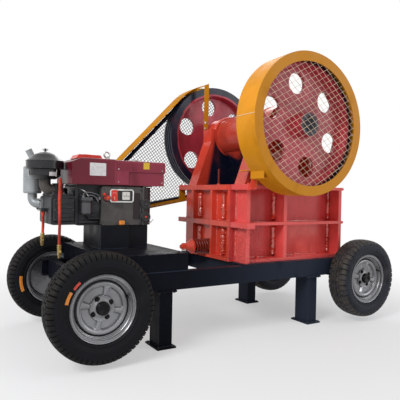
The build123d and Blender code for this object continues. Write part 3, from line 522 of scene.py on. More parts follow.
class Piece:
    """A mesh in the making: corners in millimetres, faces, and the finish of each face."""

    def __init__(self, name, finish, body="chassis", slot="bare_steel", home=(0, 0, 0)):
        self.name = name
        self.finishes = [finish]
        self.body = body
        self.slot = slot
        self.home = Vector(home)
        self.corners = []
        self.faces = []
        self.numbers = []
        self.number = 0

    def use(self, finish):
        """Sets the finish of the faces that follow."""
        if finish not in self.finishes:
            self.finishes.append(finish)
        self.number = self.finishes.index(finish)

    def face(self, *corners):
        self.faces.append(corners)
        self.numbers.append(self.number)

    def skin(self, rings, closed=True, capped=True):
        """Joins rings of points, one after another, into a surface."""
        first = len(self.corners)
        count = len(rings[0])
        for ring in rings:
            self.corners.extend(ring)
        for row in range(len(rings) - 1):
            for step in range(count if closed else count - 1):
                a = first + row * count + step
                b = first + row * count + (step + 1) % count
                self.face(a, b, b + count, a + count)
        if capped:
            self.face(*range(first, first + count))
            self.face(*range(len(self.corners) - count, len(self.corners)))

    def block(self, x, y, z, edge=1.5):
        """A block between limits along each axis, its edges bevelled."""
        edge = min(edge, *((high - low) / 2.5 for low, high in (x, y, z)))
        rings = []
        for height, inset in ((z[0], edge), (z[0] + edge, 0), (z[1] - edge, 0), (z[1], edge)):
            a, b, c, d = x[0] + inset, x[1] - inset, y[0] + inset, y[1] - inset
            flat = ((a + edge, c), (b - edge, c), (b, c + edge), (b, d - edge), (b - edge, d),
                    (a + edge, d), (a, d - edge), (a, c + edge))
            rings.append([Vector((*point, height)) for point in flat])
        self.skin(rings)

    def turned(self, centre, axis, profile, steps=32, phase=0.0):
        """A skin turned about an axis, from (radius, along) points."""
        centre = Vector(centre)
        along = Vector(axis).normalized()
        side = Vector((0, 0, 1)) if abs(along.z) < 0.9 else Vector((1, 0, 0))
        side = (side - along * side.dot(along)).normalized()
        other = along.cross(side)
        turns = [phase + 2 * math.pi * step / steps for step in range(steps)]
        rings = []
        for radius, rise in profile:
            rings.append([centre + along * rise + side * (radius * math.cos(turn))
                          + other * (radius * math.sin(turn)) for turn in turns])
        self.skin(rings, True, False)

    def rod(self, start, end, radius, sides=12):
        start, end = Vector(start), Vector(end)
        far = (end - start).length
        lip = min(radius * 0.25, far / 3)
        self.turned(start, end - start, [(0, 0), (radius - lip, 0), (radius, lip), (radius, far - lip),
                                         (radius - lip, far), (0, far)], sides)

    def bolt(self, place, axis, size=12.0, stud=0.0):
        """A hexagon head on a washer, with the end of a stud where one shows."""
        along = Vector(axis).normalized()
        place = Vector(place)
        washer = size * 0.16
        self.turned(place, along, [(0, 0), (size * 1.1, 0), (size * 1.1, washer), (0, washer)], 20)
        low, high = size * 0.14, size * 0.78
        self.turned(place, along, [(0, low), (size * 0.95, low), (size * 0.95, high - size * 0.12),
                                   (size * 0.8, high), (0, high)], 6, phase=0.3)
        if stud:
            self.rod(place + along * low, place + along * (high + stud), size * 0.48, 10)

    def bolt_rows(self, xs, ys, zs, axis, size, stud=0.0):
        """Bolts wherever some places along x, y and z meet."""
        for place in itertools.product(xs, ys, zs):
            self.bolt(place, axis, size, stud)

    def bolt_circle(self, centre, radius, count, start, axis, size):
        """Bolts spread evenly round an axis that lies along y."""
        for number in range(count):
            self.bolt(around(centre, radius, start + 360 / count * number), axis, size)

    def tube(self, points, radius, sides=8, capped=True):
        """A round bar along points; radius may be a list."""
        points = [Vector(point) for point in points]
        radii = radius if isinstance(radius, list) else [radius] * len(points)
        ahead = (points[1] - points[0]).normalized()
        side = ahead.orthogonal().normalized()
        rings = []
        for number, point in enumerate(points):
            before = points[max(number - 1, 0)]
            after = points[min(number + 1, len(points) - 1)]
            ahead = (after - before).normalized()
            side = (side - ahead * side.dot(ahead)).normalized()
            other = ahead.cross(side)
            rings.append([point + (side * math.cos(turn) + other * math.sin(turn)) * radii[number]
                          for turn in (2 * math.pi * step / sides for step in range(sides))])
        self.skin(rings, True, capped)

    def bead(self, start, end, size, ripple, dice):
        """A weld bead between two places: overlapping ripples of uneven size."""
        start, end = Vector(start), Vector(end)
        far = (end - start).length
        count = max(4, int(far / ripple * 2))
        points, radii = [], []
        for number in range(count + 1):
            wobble = Vector([dice.uniform(-0.16, 0.16) * size for _ in range(3)])
            points.append(start.lerp(end, number / count) + wobble)
            swell = 1.0 if number % 2 else 0.76
            radii.append(size * swell * dice.uniform(0.82, 1.1))
        radii[0] = radii[-1] = size * 0.45
        self.tube(points, radii, 8)

    def plate(self, outline, low, high):
        """A flat plate across y, from an outline in x and z."""
        self.skin([[Vector((x, y, z)) for x, z in outline] for y in (low, high)])

    def build(self, *nodes, sharp=32.0):
        """Makes the object, gives it its finishes and its body, and hides the nodes it replaces."""
        mesh = bpy.data.meshes.new(self.name)
        places = [(corner - self.home) / 1000 for corner in self.corners]
        mesh.from_pydata(places, [], self.faces)
        for finish in self.finishes:
            mesh.materials.append(finish_of(finish))
        mesh.polygons.foreach_set("material_index", self.numbers)
        work = bmesh.new()
        work.from_mesh(mesh)
        bmesh.ops.remove_doubles(work, verts=work.verts, dist=0.00001)
        bmesh.ops.dissolve_degenerate(work, edges=work.edges, dist=0.00001)
        bmesh.ops.recalc_face_normals(work, faces=work.faces)
        work.to_mesh(mesh)
        work.free()
        mesh.shade_smooth()
        mesh.set_sharp_from_angle(angle=math.radians(sharp))
        made = bpy.data.objects.new(self.name, mesh)
        made.location = mm(*self.home)
        bpy.context.scene.collection.objects.link(made)
        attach(made, self.body)
        if nodes:
            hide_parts(*nodes)
        return made


def rounded(x, z, corner, steps=5):
    """A rectangle's outline in x and z with round corners."""
    points = []
    for cx, cz, start in ((x[1] - corner, z[1] - corner, 0), (x[0] + corner, z[1] - corner, 90),
                          (x[0] + corner, z[0] + corner, 180), (x[1] - corner, z[0] + corner, 270)):
        for step in range(steps + 1):
            turn = math.radians(start + 90 * step / steps)
            points.append((cx + corner * math.cos(turn), cz + corner * math.sin(turn)))
    return points


def finish_of(name):
    """A finish that has been mixed already."""
    found = bpy.data.materials.get(name)
    if found is None:
        raise RuntimeError("the finish " + name + " isn't there: run the paints first")
    return found


class CRUSHER_OT_stage(bpy.types.Operator):
    """Make the floor, the soft lights and the camera"""
    bl_idname = "crusher.stage"
    bl_label = "Studio"

    def lamp(self, name, place, power, size):
        data = bpy.data.lights.new(name, "AREA")
        data.energy = power
        data.shape = "DISK"
        data.size = size
        lamp = bpy.data.objects.new(name, data)
        lamp.location = Vector(place)
        lamp.rotation_euler = (Vector((0, 0, 0.8)) - lamp.location).to_track_quat("-Z", "Y").to_euler()
        bpy.context.scene.collection.objects.link(lamp)

    def seen(self, tree):
        """1 for what the camera sees, straight or in gloss and glass."""
        path = tree.nodes.new("ShaderNodeLightPath")
        last = path.outputs["Is Camera Ray"]
        for other in ("Is Glossy Ray", "Is Transmission Ray"):
            most = tree.nodes.new("ShaderNodeMath")
            most.operation = "MAXIMUM"
            tree.links.new(last, most.inputs[0])
            tree.links.new(path.outputs[other], most.inputs[1])
            last = most.outputs[0]
        return last

    def floor(self, settings):
        mesh = bpy.data.meshes.new("floor")
        half = 60
        mesh.from_pydata([(-half, -half, 0), (half, -half, 0), (half, half, 0), (-half, half, 0)], [],
                         [(0, 1, 2, 3)])
        floor = bpy.data.objects.new("floor", mesh)
        bpy.context.scene.collection.objects.link(floor)
        made = Finish("pale_floor", Roughness=0.9, IOR=1.3)
        tone = made.mix(made.noise(1.5, 4), shade(settings.floor, 0.97), tuple(settings.floor))
        made.put(made.shader.inputs["Base Color"], tone)
        white = made.node("Emission")
        white.inputs["Strength"].default_value = 1.0
        blend = made.node("MixShader")
        far = made.step(made.vector("LENGTH", made.place), 1.0, 3.4, 0.42, 1.0)
        made.put(blend.inputs[0], made.sum("MULTIPLY", far, self.seen(made.tree)))
        made.put(blend.inputs[1], made.shader.outputs[0])
        made.put(blend.inputs[2], white.outputs[0])
        output = next(node for node in made.tree.nodes if node.type == "OUTPUT_MATERIAL")
        made.put(output.inputs["Surface"], blend.outputs[0])
        mesh.materials.append(made.material)

    def sky(self, settings):
        world = bpy.data.worlds.new("studio")
        bpy.context.scene.world = world
        world.use_nodes = True
        tree = world.node_tree
        tree.nodes.clear()
        light = tree.nodes.new("ShaderNodeBackground")
        light.inputs["Color"].default_value = (0.93, 0.96, 1.0, 1.0)
        light.inputs["Strength"].default_value = settings.sky
        white = tree.nodes.new("ShaderNodeBackground")
        white.inputs["Color"].default_value = (1, 1, 1, 1)
        blend = tree.nodes.new("ShaderNodeMixShader")
        output = tree.nodes.new("ShaderNodeOutputWorld")
        tree.links.new(self.seen(tree), blend.inputs[0])
        tree.links.new(light.outputs[0], blend.inputs[1])
        tree.links.new(white.outputs[0], blend.inputs[2])
        tree.links.new(blend.outputs[0], output.inputs["Surface"])

    def camera(self):
        heading, climb, roll = 0.541815, -0.010653, 0.019046
        ahead = Vector((math.sin(heading) * math.cos(climb), math.cos(heading) * math.cos(climb),
                        math.sin(climb)))
        level = Vector((math.cos(heading), -math.sin(heading), 0))
        above = level.cross(ahead)
        right = level * math.cos(roll) + above * math.sin(roll)
        up = above * math.cos(roll) - level * math.sin(roll)
        data = bpy.data.cameras.new("camera")
        data.sensor_width = 36.0
        data.lens = 41.407
        data.shift_x = 0.01501
        data.shift_y = 0.00044
        data.clip_end = 200.0
        camera = bpy.data.objects.new("camera", data)
        bpy.context.scene.collection.objects.link(camera)
        turn = camera.matrix_world.to_3x3()
        turn.col[0], turn.col[1], turn.col[2] = right, up, -ahead
        camera.rotation_euler = turn.to_euler()
        camera.location = mm(-774.228, -2644.428, 853.146)
        bpy.context.scene.camera = camera

    def execute(self, context):
        settings = context.scene.crusher_studio
        context.scene.view_settings.view_transform = "Standard"
        self.camera()
        self.sky(settings)
        self.floor(settings)
        self.lamp("key_light", (-5.8, -2.6, 4.6), settings.key, 3.0)
        self.lamp("fill_light", (4.5, -4.5, 3.0), settings.fill, 4.0)
        self.lamp("rim_light", (2.5, 5.0, 4.0), settings.fill, 3.0)
        return {"FINISHED"}


class CRUSHER_OT_paints(bpy.types.Operator):
    """Mix every finish and put them on the pieces that keep their plain shape"""
    bl_idname = "crusher.paints"
    bl_label = "Paints and finishes"

    coats = {
        "box_red": "side_frame_near side_frame_far toggle_end_wall fixed_jaw_wall bearings"
                   " tension_rod",
        "upright_red": "uprights",
        "shaded_red": "tension_spring",
        "frame_paint": "side_rail_near side_rail_far cross_members legs axle_front axle_rear"
                       " engine_bed",
        "stand_paint": "engine_stand",
        "jaw_paint": "swing_jaw",
        "worn_jaw": "fixed_jaw_plate swing_jaw_plate cheek_plates",
        "dark_steel": "toggle_seat toggle_plate",
        "wheel_paint": "flywheel belt_sheave",
        "shaft_navy": "eccentric_shaft",
        "guard_paint": "flywheel_guard",
        "band_paint": "belt_guard_band",
        "belt_rubber": "drive_belts",
        "engine_wheel_paint": "engine_wheel engine_pulley",
        "block_black": "cylinder_head crankcase",
        "gear_case_grey": "gear_cover",
        "hood_paint": "hood",
        "lid_red": "hood_lid",
        "cleaner_black": "air_cleaner",
        "filter_black": "oil_filter",
        "elbow_cast": "intake_elbow",
        "muffler_silver": "muffler",
        "sight_tube": "sight_gauge",
    }

    def execute(self, context):
        colours = context.scene.crusher_colours
        navy = tuple(colours.navy)
        red = tuple(colours.red)
        painted("box_red", red, 0.32, 0.22, dust=0.06, blotch=0.22, gleam=0.3, peel=coarse_drops, zones=[
            # painted highlight: the near flanges' outer edges are painted a paler red, as if sunlit
            (red_patches, shade(red, 0.66)), (near_edges, (0.8, 0.1, 0.09)),
            # painted light: the lower half of the near wall is painted paler, as lit from the floor
            # painted shade: the near wall is painted a darker, purpler red than the front, as a shaded face
            (side_wall, (0.62, 0.055, 0.055)), (floor_bounce_light, (0.9, 0.17, 0.14)), (dark_corner, (0.1, 0.02, 0.055))])
        painted("upright_red", red, 0.3, 0.35, dust=0.12, blotch=0.22, gleam=0.4,
                zones=[(red_patches, shade(red, 0.66)), (overspray, navy)])
        # painted shade: a darker copy of the crusher red for the spring and the rod at the box's front,
        # which sit in shade
        painted("shaded_red", shade(red, 0.3), 0.35, 0.1, dust=0.05, gleam=0.2)
        painted("weld_red", shade(red, 1.05), 0.1, 1.0, dust=0.0, wear=0.0, lumps=1.2, gleam=0.9)
        painted("frame_paint", colours.frame, 0.42, 0.0, dust=0.02, gleam=0.05, wear=0.4,
                # painted light: the frame is painted paler towards the crusher
                zones=[(frame_lit_end, (0.021, 0.027, 0.043))])
        painted("stand_paint", colours.frame, 0.45, 0.0, dust=0.75, gleam=0.15, wear=0.4)
        # painted shade: the jaw takes a darker copy of the crusher red, as it sits in shade between the
        # uprights
        painted("jaw_paint", shade(red, 0.72), 0.32, 0.3, dust=0.1, gleam=0.4, zones=[(jaw_foot, navy)])
        painted("wheel_paint", colours.web, 0.32, 0.12, dust=0.1, gleam=0.3, wear=0.3, zones=[
            (smudge_zone, shade(colours.web, 0.5)), (rim_zone, navy), (hub_zone, navy)])
        painted("shaft_navy", navy, 0.36, 0.05, dust=0.03, gleam=0.12, wear=0.3)
        painted("engine_wheel_paint", colours.block, 0.36, 0.1, dust=0.1, gleam=0.3)
        painted("guard_paint", colours.orange, 0.45, 0.03, dust=0.03, blotch=0.16, wear=0.5, gleam=0.16,
                # painted shade on the guard's front ring
                zones=[(shaded_front_ring, shade(colours.orange, 0.72)), (bracket_foot, red)])
        # painted shade: the far belt guard gets a darker copy of the guard orange
        painted("band_paint", shade(colours.orange, 0.78), 0.6, 0.0, dust=0.0, blotch=0.16, wear=0.5,
                gleam=0.02)
        painted("hood_paint", shade(colours.hood, 0.7), 0.36, 0.08, dust=0.1, blotch=0.3, gleam=0.3,
                # painted light: the hood is painted lighter towards the crusher
                zones=[(hood_lit_end, (0.27, 0.03, 0.058)), (eye_zone, (0.3, 0.3, 0.28))])
        painted("lid_red", colours.lid, 0.34, 0.15, dust=0.05, blotch=0.15, gleam=0.35)
        painted("cleaner_black", shade(colours.block, 0.7), 0.25, 0.2, dust=0.0, lumps=0.6, gleam=0.3)
        painted("filter_black", shade(colours.block, 2.2), 0.2, 0.6, dust=0.1, lumps=0.6)
        painted("muffler_silver", (0.42, 0.44, 0.45), 0.4, 0.0, dust=0.1, blotch=0.4, metal=0.3)
        painted("rim_silver", colours.silver, 0.27, 0.0, dust=0.0, wear=0.1, lumps=2.4, metal=0.65,
                zones=[(groove, (0.035, 0.035, 0.04))])
        cast("block_black", colours.block, dust=0.15)
        cast("gear_case_grey", colours.engine, 0.5, 0.3, zones=[(column, (0.014, 0.006, 0.008))])
        cast("elbow_cast", (0.06, 0.052, 0.047), 0.55, 0.3)
        bare("worn_jaw", (0.3, 0.28, 0.26), 0.38, 0.5)
        bare("dark_steel", (0.1, 0.095, 0.09), 0.45, 0.5)
        bare("zinc", (0.6, 0.6, 0.58), 0.34, 0.25)
        bare("dark_bolt", (0.06, 0.06, 0.065), 0.42, 0.2, metal=0.6)
        bare("pipe_steel", (0.24, 0.24, 0.25), 0.4, 0.3)
        bare("brass", (0.42, 0.29, 0.1), 0.4, 0.2)
        # painted shade: the belt guard's wires are dark to stand in for the shade and the dark space behind
        # the mesh
        bare("mesh_wire", (0.085, 0.075, 0.07), 0.5, 0.25, metal=0.2)
        bare("tan_wire", (0.78, 0.58, 0.4), 0.45, 0.1, metal=0.0)
        bare("panel_silver", (0.62, 0.62, 0.6), 0.3, 0.05, (1, 1, 0.1))
        painted("cap_black", (0.004, 0.004, 0.005), 0.3, 0.1, dust=0.02, gleam=0.1, wear=0.2)
        rubber("belt_rubber", (0.004, 0.007, 0.014), 0.66)
        rubber("cable_sheath", colours.cable, 0.5)
        rubber("black_rubber", colours.rubber, 0.5)
        # painted shade and painted light: the front tyres take a darker copy of the rubber for their shaded
        # sides, the rear tyres a lighter copy for their lit tread
        rubber("tyre_front_rubber", shade(colours.rubber, 0.6), 0.62, tread=0.275, soil=0.2)
        rubber("tyre_rear_rubber", shade(colours.rubber, 2.6), 0.55, tread=0.267)
        patch_of("seam_pale", (0.75, 0.6, 0.38))
        patch_of("bare_white", (0.68, 0.66, 0.66))
        patch_of("bare_yellow", (0.75, 0.5, 0.04))
        patch_of("bare_orange", (0.8, 0.26, 0.03))
        patch_of("bare_red", (0.62, 0.06, 0.04))
        patch_of("dial_white", (0.75, 0.73, 0.68))
        patch_of("dial_black", (0.02, 0.02, 0.02))
        glass("sight_tube", (0.7, 0.62, 0.35))
        for finish, nodes in self.coats.items():
            for node in nodes.split():
                piece = frame["nodes"][node]
                if not piece.material_slots:
                    piece.data.materials.append(None)
                for slot in piece.material_slots:
                    slot.material = finish_of(finish)
        return {"FINISHED"}


class CRUSHER_OT_cables(bpy.types.Operator):
    """Hang the two battery cables, with the brass clamps at their ends"""
    bl_idname = "crusher.cables"
    bl_label = "Battery cables"

    def clamp(self, name, route):
        """A crimped ferrule and an open clamp with its screw, which hang at a cable's end."""
        piece = Piece(name, "brass", slot="clip_brass")
        end = Vector(route[-1])
        down = (end - Vector(route[-2])).normalized()
        ferrule = [(0, 0), (10.5, 0), (12, 3), (12, 9), (10.4, 11), (12, 13), (12, 19), (10.4, 21), (12, 23),
                   (12, 27), (9, 30), (0, 30)]
        piece.turned(end - down * 6, down, ferrule, 24)
        middle = end + down * 38
        rings = []
        for step in range(29):
            turn = math.radians(-70 + 320 * step / 28)
            ahead = Vector((0, math.cos(turn), math.sin(turn)))
            rings.append([middle + ahead * reach + Vector((across, 0, 0)) for reach, across in
                          ((10, -6), (11, -7), (18, -7), (19, -6), (19, 6), (18, 7), (11, 7), (10, 6))])
        piece.skin(rings)
        for side in (-1, 1):
            y = middle.y + side * 7.5
            piece.block((middle.x - 6, middle.x + 6), (y - 2.5, y + 2.5), (middle.z - 30, middle.z - 15), 1)
        piece.use("dark_bolt")
        piece.rod((middle.x, middle.y - 15, middle.z - 23), (middle.x, middle.y + 14, middle.z - 23), 2.6)
        piece.bolt((middle.x, middle.y + 10, middle.z - 23), FARWARD, 5)
        return piece.build()

    def boot(self, name, place, ahead):
        """A tapered rubber boot over a cable's lug."""
        piece = Piece(name, "cable_sheath", slot="cable_red")
        taper = [(0, 0), (13, 0), (13.5, 4), (13, 9), (11, 14), (11.4, 16), (10, 19), (10.2, 21), (9, 26),
                 (8.4, 30), (0, 30)]
        piece.turned(Vector(place) - Vector(ahead) * 6, ahead, taper, 20)
        return piece.build()

    def cable(self, name, node, route, length, pieces):
        curve = bpy.data.curves.new(name, "CURVE")
        curve.dimensions = "3D"
        curve.bevel_depth = bpy.context.scene.crusher_sizes.cable / 2000
        curve.bevel_resolution = 5
        curve.resolution_u = 16
        curve.use_fill_caps = True
        line = curve.splines.new("NURBS")
        line.points.add(len(route) - 1)
        for point, place in zip(line.points, route):
            point.co = (*mm(*place), 1.0)
        line.order_u = 3
        line.use_endpoint_u = True
        curve.materials.append(finish_of("cable_sheath"))
        cable = bpy.data.objects.new(name, curve)
        bpy.context.scene.collection.objects.link(cable)
        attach(cable, "chassis")
        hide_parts(node)

    def execute(self, context):
        first = self.clamp("long_cable_clamp", LONG_ROUTE)
        second = self.clamp("short_cable_clamp", SHORT_ROUTE)
        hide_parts("cable_clips")
        boot = self.boot("long_cable_boot", LONG_ROUTE[0], UP)
        other = self.boot("short_cable_boot", SHORT_ROUTE[0], DOWN)
        self.cable("long_cable", "battery_cable_long", LONG_ROUTE, 0.53, [first, boot])
        self.cable("short_cable", "battery_cable_short", SHORT_ROUTE, 0.13, [second, other])
        return {"FINISHED"}


class CRUSHER_OT_tyres(bpy.types.Operator):
    """Mould the four tyres with shoulder blocks, grooves and sidewall rings"""
    bl_idname = "crusher.tyres"
    bl_label = "Tyres"

    per_block = 8

    def section(self, radius, half, notch):
        """Half of the section: (offset, radius, depth of the slots, which row of blocks)."""
        crown = [(0, 0, 0, 0), (6, 0.2, 0, 0), (7.5, 7, 0, 0), (12.5, 7, 0, 0), (14, 0.6, 0.6, 2),
                 (28, 1.6, 0.6, 2), (30, 8, 0, 0), (34, 8, 0, 0), (36, 2.4, 0.8, 1), (46, 4.2, 0.9, 1)]
        shoulder = [(17, 8, 1, 1), (10, 14, 1, 1), (6, 22, 0.8, 1), (3.5, 31, 0.45, 1), (2.6, 34, 0, 0),
                    (3.4, 36, 0, 0), (2.2, 38, 0, 0), (0.6, 46, 0, 0)]
        wall = [(0, 221), (0.5, 208), (0.2, 205), (2, 202), (4, 195), (6.5, 188), (8.5, 184), (6.6, 181),
                (7.4, 177)]
        bead = [(61, 173), (58.6, 170.4), (53, 169.4), (52.4, 166), (52.4, 152.4)]
        return ([(offset, radius - drop, notch * cut, row) for offset, drop, cut, row in crown]
                + [(half - inset, radius - drop, notch * cut, row) for inset, drop, cut, row in shoulder]
                + [(half - inset, reach, 0, 0) for inset, reach in wall]
                + [(offset, reach, 0, 0) for offset, reach in bead])

    def patch(self, piece, wall, inner, outer, start, end, side):
        """A bare sticker that follows the sidewall between two radii and two angles."""
        steps = 10

        def bulge(radius):
            for (far, near_rim), (near, far_rim) in zip(wall, wall[1:]):
                if far_rim <= radius <= near_rim:
                    share = (near_rim - radius) / (near_rim - far_rim)
                    return far + (near - far) * share
            return wall[-1][0]

        rings = []
        for number in range(steps + 3):
            lift = -0.6 if number in (0, steps + 2) else 0.6
            radius = inner + (outer - inner) * min(max(number - 1, 0), steps) / steps
            middle = piece.home + Vector((0, side * (bulge(radius) + lift), 0))
            rings.append([around(middle, radius, start + (end - start) * step / steps)
                          for step in range(steps + 1)])
        piece.skin(rings, False, False)

    def round_of_blocks(self, piece, blocks, offset, reach, depth, row):
        """One ring of the tread, let in where a slot between two blocks crosses it."""
        steps = blocks * self.per_block
        shift = (self.per_block // 2 if row == 2 else 0) + (2 if offset < 0 else 0)
        ring = []
        for step in range(steps):
            block, spot = divmod(step + shift, self.per_block)
            low = depth if row and spot == 0 else 0
            deeper = 1.3 if block % 2 else 0.9
            middle = piece.home + Vector((0, offset * (1 - low * 0.006), 0))
            ring.append(around(middle, reach - low * deeper, 360 * step / steps))
        return ring

    def execute(self, context):
        notch = context.scene.crusher_sizes.notch
        for name, wheel in WHEELS.items():
            end = name.split("_")[0]
            piece = Piece("moulded_tyre_" + name, "tyre_" + end + "_rubber", body="wheel_" + name,
                          slot="tyre_black", home=wheel.home())
            right = self.section(wheel.radius, wheel.half, notch)
            rows = [(-y, r, d, k) for y, r, d, k in reversed(right[1:])] + right
            rings = [self.round_of_blocks(piece, wheel.blocks, *row) for row in rows]
            rings.append(rings[0])
            piece.skin(rings, True, False)
            if end == "front":
                wall = [(offset, reach) for offset, reach, _, _ in right]
                piece.use("bare_orange")
                self.patch(piece, wall, 182, 198, 149, 167, wheel.side)
                piece.use("bare_red")
                self.patch(piece, wall, 179, 192, 131, 144, wheel.side)
                if wheel.side > 0:
                    piece.use("bare_orange")
                    self.patch(piece, wall, 194, 214, 174, 202, -wheel.side)
            piece.build("tyre_" + name, sharp=28)
        return {"FINISHED"}


class CRUSHER_OT_rims(bpy.types.Operator):
    """Press the four rims: stepped flange, domed disc, bolts, hub cap and valve"""
    bl_idname = "crusher.rims"
    bl_label = "Rims"

    barrel = [(152, -53), (168, -54), (168, -58), (162, -58.5), (156, -55), (147, -46), (146, -20),
              (134, -12), (134, 17), (137.5, 20), (138.5, 29), (141, 30.5), (141.8, 29.6), (143, 34),
              (146, 36), (147, 35), (148.5, 40), (152, 42.4), (153, 41.4), (154.5, 46.5), (158.5, 49),
              (159.6, 48), (161, 53), (164, 57), (166, 58), (168, 56.5), (168, 53), (152.2, 53), (152, 20),
              (146, 0), (152, -20), (152, -53)]
    disc = [134.5, 133.5, 132, 130, 128, 126, 123, 120, 117, 114, 112, 110, 108, 106, 104.5, 103, 101, 98,
            92, 84, 76, 70, 67, 65.5, 64, 62, 60, 56, 50, 46, 43, 40, 34]
    cap = [(34, 20), (34, 44), (32.5, 50), (30, 53), (27, 54), (25, 52.5), (12, 52.5), (10, 51), (0, 51)]
    valve = [(0, 0), (7, 0), (6, 6), (4, 16), (4, 30), (5, 31), (5, 38), (0, 39)]

    def rise(self, radius, degrees):
        """How far the disc stands out at a radius and an angle."""
        def smooth(value, low, high):
            share = min(1.0, max(0.0, (value - low) / (high - low)))
            return share * share * (3 - 2 * share)

        edge = 18 + 15 * smooth(radius, 134.5, 128)
        crown = 4.0 * smooth(radius, 130, 123) * smooth(radius, 110, 117)
        part = (degrees + 13) % 90
        gap = smooth(part, 7, 12) * smooth(part, 83, 78)
        bar = smooth(part % 89.9, 6, 1) + smooth(part, 84, 89)
        pad = smooth(radius, 62, 67) * smooth(radius, 108, 101)
        inner = 5.0 * smooth(radius, 46, 40)
        return edge + crown - 13.0 * pad * gap + 2.5 * pad * bar - 3.5 * smooth(radius, 66, 60) + inner

    def execute(self, context):
        for name, wheel in WHEELS.items():
            piece = Piece("pressed_rim_" + name, "rim_silver", body="wheel_" + name, slot="wheel_silver",
                          home=wheel.home())
            home = piece.home
            out = Vector((0, wheel.side, 0))
            piece.turned(home, out, self.barrel, 120)
            turns = [360 * step / 144 for step in range(144)]
            piece.skin([[around(home + out * self.rise(radius, turn), radius, turn) for turn in turns]
                        for radius in self.disc], True, False)
            piece.turned(home, out, [(20, -20), (44, -20), (44, 8), (134, 8), (134.5, 18)], 60)
            piece.use("cap_black")
            piece.turned(home, out, self.cap, 48)
            for degrees in (30, 120, 210, 300):
                seat = around(home + out * 29, 51, degrees)
                piece.turned(seat, out, [(14, -1), (13, 2), (10, 1), (10, 0)], 20)
                piece.bolt(seat, out, 9.5)
            piece.use("black_rubber")
            degrees = 20 if wheel.side < 0 else 160
            piece.turned(around(home + out * 20, 140, degrees), around(out, -0.25, degrees), self.valve, 14)
            piece.build("rim_" + name, sharp=40)
        return {"FINISHED"}


class CRUSHER_OT_guard_mesh(bpy.types.Operator):
    """Weave the wire mesh of the round guard and the finer mesh of the belt guard"""
    bl_idname = "crusher.guard_mesh"
    bl_label = "Guard meshes"

    def chord(self, inside, middle, along, reach):
        """The stretch of a line that lies inside an outline, as two distances."""
        found = [step for step in range(-reach, reach + 1, 4) if inside(middle + along * step)]
        return (found[0], found[-1]) if len(found) > 2 else None

    def weave(self, piece, inside, centre, pitch, wire, y, turns, reach):
        """Two sets of crimped wires at two angles, each passing over and under the other."""
        lean = turns[1] - turns[0]
        for family, angle in enumerate(turns):
            sign = 1 if family else -1
            along = Vector((math.cos(angle), 0, math.sin(angle)))
            across = Vector((-math.sin(angle), 0, math.cos(angle)))
            count = int(reach / pitch) + 1
            for number in range(-count, count + 1):
                middle = Vector(centre) + across * (number * pitch)
                ends = self.chord(inside, middle, along, int(reach))
                if not ends:
                    continue
                low, high = sorted(number * math.cos(lean) + sign * end * math.sin(lean) / pitch
                                   for end in ends)
                halves = range(math.ceil(low * 2 + 0.1), math.floor(high * 2 - 0.1) + 1)
                crossings = [low, *(half / 2 for half in halves), high]
                points = []
                for crossing in crossings:
                    mark = sign * (crossing - number * math.cos(lean)) * pitch / math.sin(lean)
                    point = middle + along * mark
                    point.y = y + wire * 0.5 * math.cos(math.pi * (number + crossing + family))
                    points.append(point)
                piece.tube(points, wire / 2, 6)

    def loop(self, big, small, steps=72):
        """Points along the outline round the sheave's and the pulley's axes."""
        run_x, run_z = SHAFT[0] - PULLEY[0], SHAFT[1] - PULLEY[1]
        along = math.atan2(run_z, run_x)
        half = math.acos((big - small) / math.hypot(run_x, run_z))
        points = []
        for centre, radius, start, end in ((SHAFT, big, along - math.pi + half, along + math.pi - half),
                                           (PULLEY, small, along + math.pi - half, along + math.pi + half)):
            for step in range(steps + 1):
                turn = start + (end - start) * step / steps
                points.append((centre[0] + radius * math.cos(turn), centre[1] + radius * math.sin(turn)))
        return points

    def execute(self, context):
        sizes = context.scene.crusher_sizes
        near = Piece("guard_wire_mesh", "tan_wire", slot="mesh_grey")
        guard_radius = 433

        def in_circle(point):
            return math.hypot(point.x - SHAFT[0], point.z - SHAFT[1]) < guard_radius

        self.weave(near, in_circle, (SHAFT[0], 0, SHAFT[1]), sizes.pitch, sizes.wire, -596.2,
                   (math.radians(29), math.radians(140)), 440)
        near.build("flywheel_guard_mesh", sharp=60)
        # painted shade: the dark wires stand in for the shade behind the mesh
        far = Piece("belt_guard_wire_mesh", "mesh_wire", slot="mesh_grey")
        run = Vector((SHAFT[0] - PULLEY[0], 0, SHAFT[1] - PULLEY[1]))
        length = run.length
        run.normalize()
        big, small = 412, 103
        tilt = math.asin((big - small) / length)

        def in_loop(point):
            arm = Vector((point.x - PULLEY[0], 0, point.z - PULLEY[1]))
            if arm.length < small or math.hypot(point.x - SHAFT[0], point.z - SHAFT[1]) < big:
                return True
            ahead = arm.dot(run)
            side = (arm - run * ahead).length
            return 0 < ahead < length and side < (small + ahead * math.sin(tilt)) / math.cos(tilt)

        self.weave(far, in_loop, (1000, 0, 1150), sizes.far_pitch, sizes.far_wire, 596.0,
                   (math.radians(38), math.radians(128)), 900)
        far.use("band_paint")
        outer, inner = self.loop(437, 128), self.loop(409, 100)
        near_face, far_face = 594, 599.6
        corners = ((near_face, outer), (far_face, outer), (far_face, inner), (near_face, inner),
                   (near_face, outer))
        far.skin([[Vector((x, y, z)) for x, z in outline] for y, outline in corners], True, False)
        far.build("belt_guard_mesh", sharp=40)
        return {"FINISHED"}


